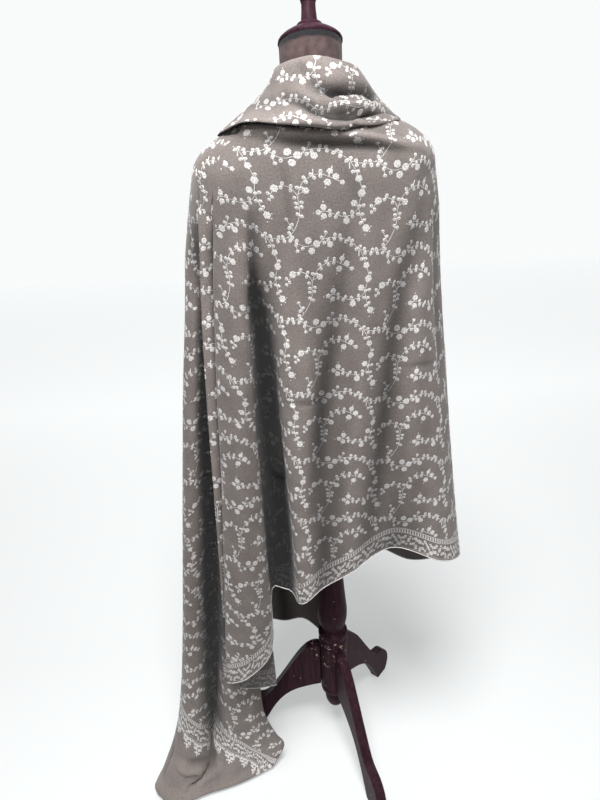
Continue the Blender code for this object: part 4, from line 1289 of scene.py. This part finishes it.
def cord_tree():
    """Sweeps a small round section along the edges of a line of points."""
    tree, names, given = new_tree("rolled_edge", (
        ("Line", "Object", None),
        ("Radius", "Float", 0.0012),
        ("Pitch", "Float", 0.004),
        ("Thread", "Material", None),
    ))
    line = add(tree, "GeometryNodeObjectInfo", {"Object": given["Line"]}).outputs["Geometry"]
    path = add(tree, "GeometryNodeMeshToCurve", {"Mesh": line}).outputs["Curve"]
    path = add(tree, "GeometryNodeResampleCurve", {"Curve": path, "Length": given["Pitch"]}, mode="LENGTH")
    section = {"Resolution": 7, "Radius": given["Radius"]}
    section = add(tree, "GeometryNodeCurvePrimitiveCircle", section, mode="RADIUS")
    sweep = {"Curve": path.outputs["Curve"], "Profile Curve": section.outputs["Curve"], "Fill Caps": True}
    cord = add(tree, "GeometryNodeCurveToMesh", sweep)
    end_tree(tree, cord.outputs["Mesh"], given["Thread"])
    return tree, names


CORD, CORD_INPUTS = cord_tree()
OVERCAST_DIM = (0.42, 0.40, 0.38, 1)
OVERCAST_FULL = (0.74, 0.72, 0.70, 1)
overcast, tree, shader = new_material("overcast_edge", 0.55, sheen=0.2)
place = add(tree, "ShaderNodeTexCoord").outputs["Object"]
stitches = ramp(tree, noise(tree, place, 500.0, 1.0), 0.35, 0.6)
tree.links.new(blend(tree, stitches, OVERCAST_DIM, OVERCAST_FULL), shader.inputs["Base Color"])

SIDE_START = 12  # rows of the front end that the collar covers
FAR_START = ring_rows + 4  # rows of the long end that are joined to the wrap
EDGES = (
    # name, points of the edge, radius
    ("wrap_hem", wrap_grid[-1, FOLDED_UNDER:], 0.0013),
    ("inner_hem", under_grid[-1], 0.0009),
    ("knife_hem", knife_grid[-1], 0.0012),
    ("front_end_hem", drop_grid[-1], 0.0013),
    ("front_end_left", drop_grid[SIDE_START:, -1], 0.0012),
    ("front_end_right", drop_grid[SIDE_START:, 0], 0.0012),
    ("long_end_far_edge", long_grid[FAR_START:, 0], 0.0012),
)
for name, points, radius in EDGES:
    line_mesh = bpy.data.meshes.new(f"{name}_line")
    line_mesh.from_pydata((points + POST).tolist(), [(n, n + 1) for n in range(len(points) - 1)], [])
    line = linked(f"{name}_line", line_mesh)
    made_by(CORD, CORD_INPUTS, name, {"Line": line, "Radius": radius, "Thread": overcast})
    bpy.data.objects.remove(line)


# ---- Floor, light and camera -------------------------------------------------------------
# A plain pale floor and backdrop, soft light from above and a weak one from behind the
# viewer, and the camera behind the form at the height of its shoulders, looking down.


def stage_plane(name, corners, finish):
    mesh = bpy.data.meshes.new(name)
    mesh.from_pydata(corners, [], [(0, 1, 2, 3)])
    mesh.materials.append(finish)
    item = linked(name, mesh)


SIDES = 9  # metres from the middle to the floor's sides
BACK = 7  # and to the backdrop
NEAR_GLOW = (-0.75, -0.2, 0.0, 0.37)  # from, to, and how bright there
FAR_GLOW = (0.3, 2.4, 0.0, 0.28)
PAINT = (0.50, 0.51, 0.51, 1)
PALE = (0.95, 0.97, 0.97, 1)
paint, tree, shader = new_material("floor_paint", 0.9, Base_Color=PAINT, Emission_Color=PALE)
place = add(tree, "ShaderNodeTexCoord").outputs["Object"]
far = add(tree, "ShaderNodeSeparateXYZ", {"Vector": place}).outputs["Y"]
glow = plus(tree, ramp(tree, far, *NEAR_GLOW), ramp(tree, far, *FAR_GLOW))
tree.links.new(glow, shader.inputs["Emission Strength"])
corners = [(-SIDES, -SIDES, 0), (SIDES, -SIDES, 0), (SIDES, SIDES, 0), (-SIDES, SIDES, 0)]
stage_plane("floor", corners, paint)
BLACK = (0, 0, 0, 1)
WALL = (0.94, 0.955, 0.955, 1)
backdrop, _, _ = new_material(
    "backdrop_glow", 0.9, Base_Color=BLACK, Emission_Color=WALL, Emission_Strength=1.0
)
corners = [(-SIDES, BACK, 0), (SIDES, BACK, 0), (SIDES, BACK, SIDES), (-SIDES, BACK, SIDES)]
stage_plane("backdrop", corners, backdrop)

world = bpy.data.worlds.new("studio")
world.use_nodes = True
background = world.node_tree.nodes["Background"]
background.inputs["Color"].default_value = (0.97, 0.99, 1.0, 1)
background.inputs["Strength"].default_value = 0.16
bpy.context.scene.world = world


def area_light(name, size, power, place, target):
    lamp = bpy.data.lights.new(name, "AREA")
    lamp.shape = "DISK"
    lamp.size = size
    lamp.energy = power
    item = linked(name, lamp)
    item.location = place
    item.rotation_euler = (Vector(target) - Vector(place)).to_track_quat("-Z", "Y").to_euler()


area_light("top_light", 1.2, 124, (-0.05, -1.0, 3.3), (0.08, 0.0, 1.0))
area_light("front_light", 1.4, 12, (0.5, -3.0, 1.9), (0, 0, 0.8))

camera_data = bpy.data.cameras.new("camera")
camera_data.sensor_width = 36
camera_data.lens = 25.19
camera_data.clip_start = 0.05
camera = linked("camera", camera_data)
CAMERA_PLACE = (-0.0514, -1.1029, 1.5)  # from the post's foot
LOOKS_DOWN = 0.4082
ROLL = -0.0571
camera.matrix_world = (
    Matrix.Translation(Vector(POST) + Vector(CAMERA_PLACE))
    @ Matrix.Rotation(math.radians(90) - LOOKS_DOWN, 4, "X")
    @ Matrix.Rotation(ROLL, 4, "Z")
)
bpy.context.scene.camera = camera
bpy.context.scene.view_settings.view_transform = "Standard"
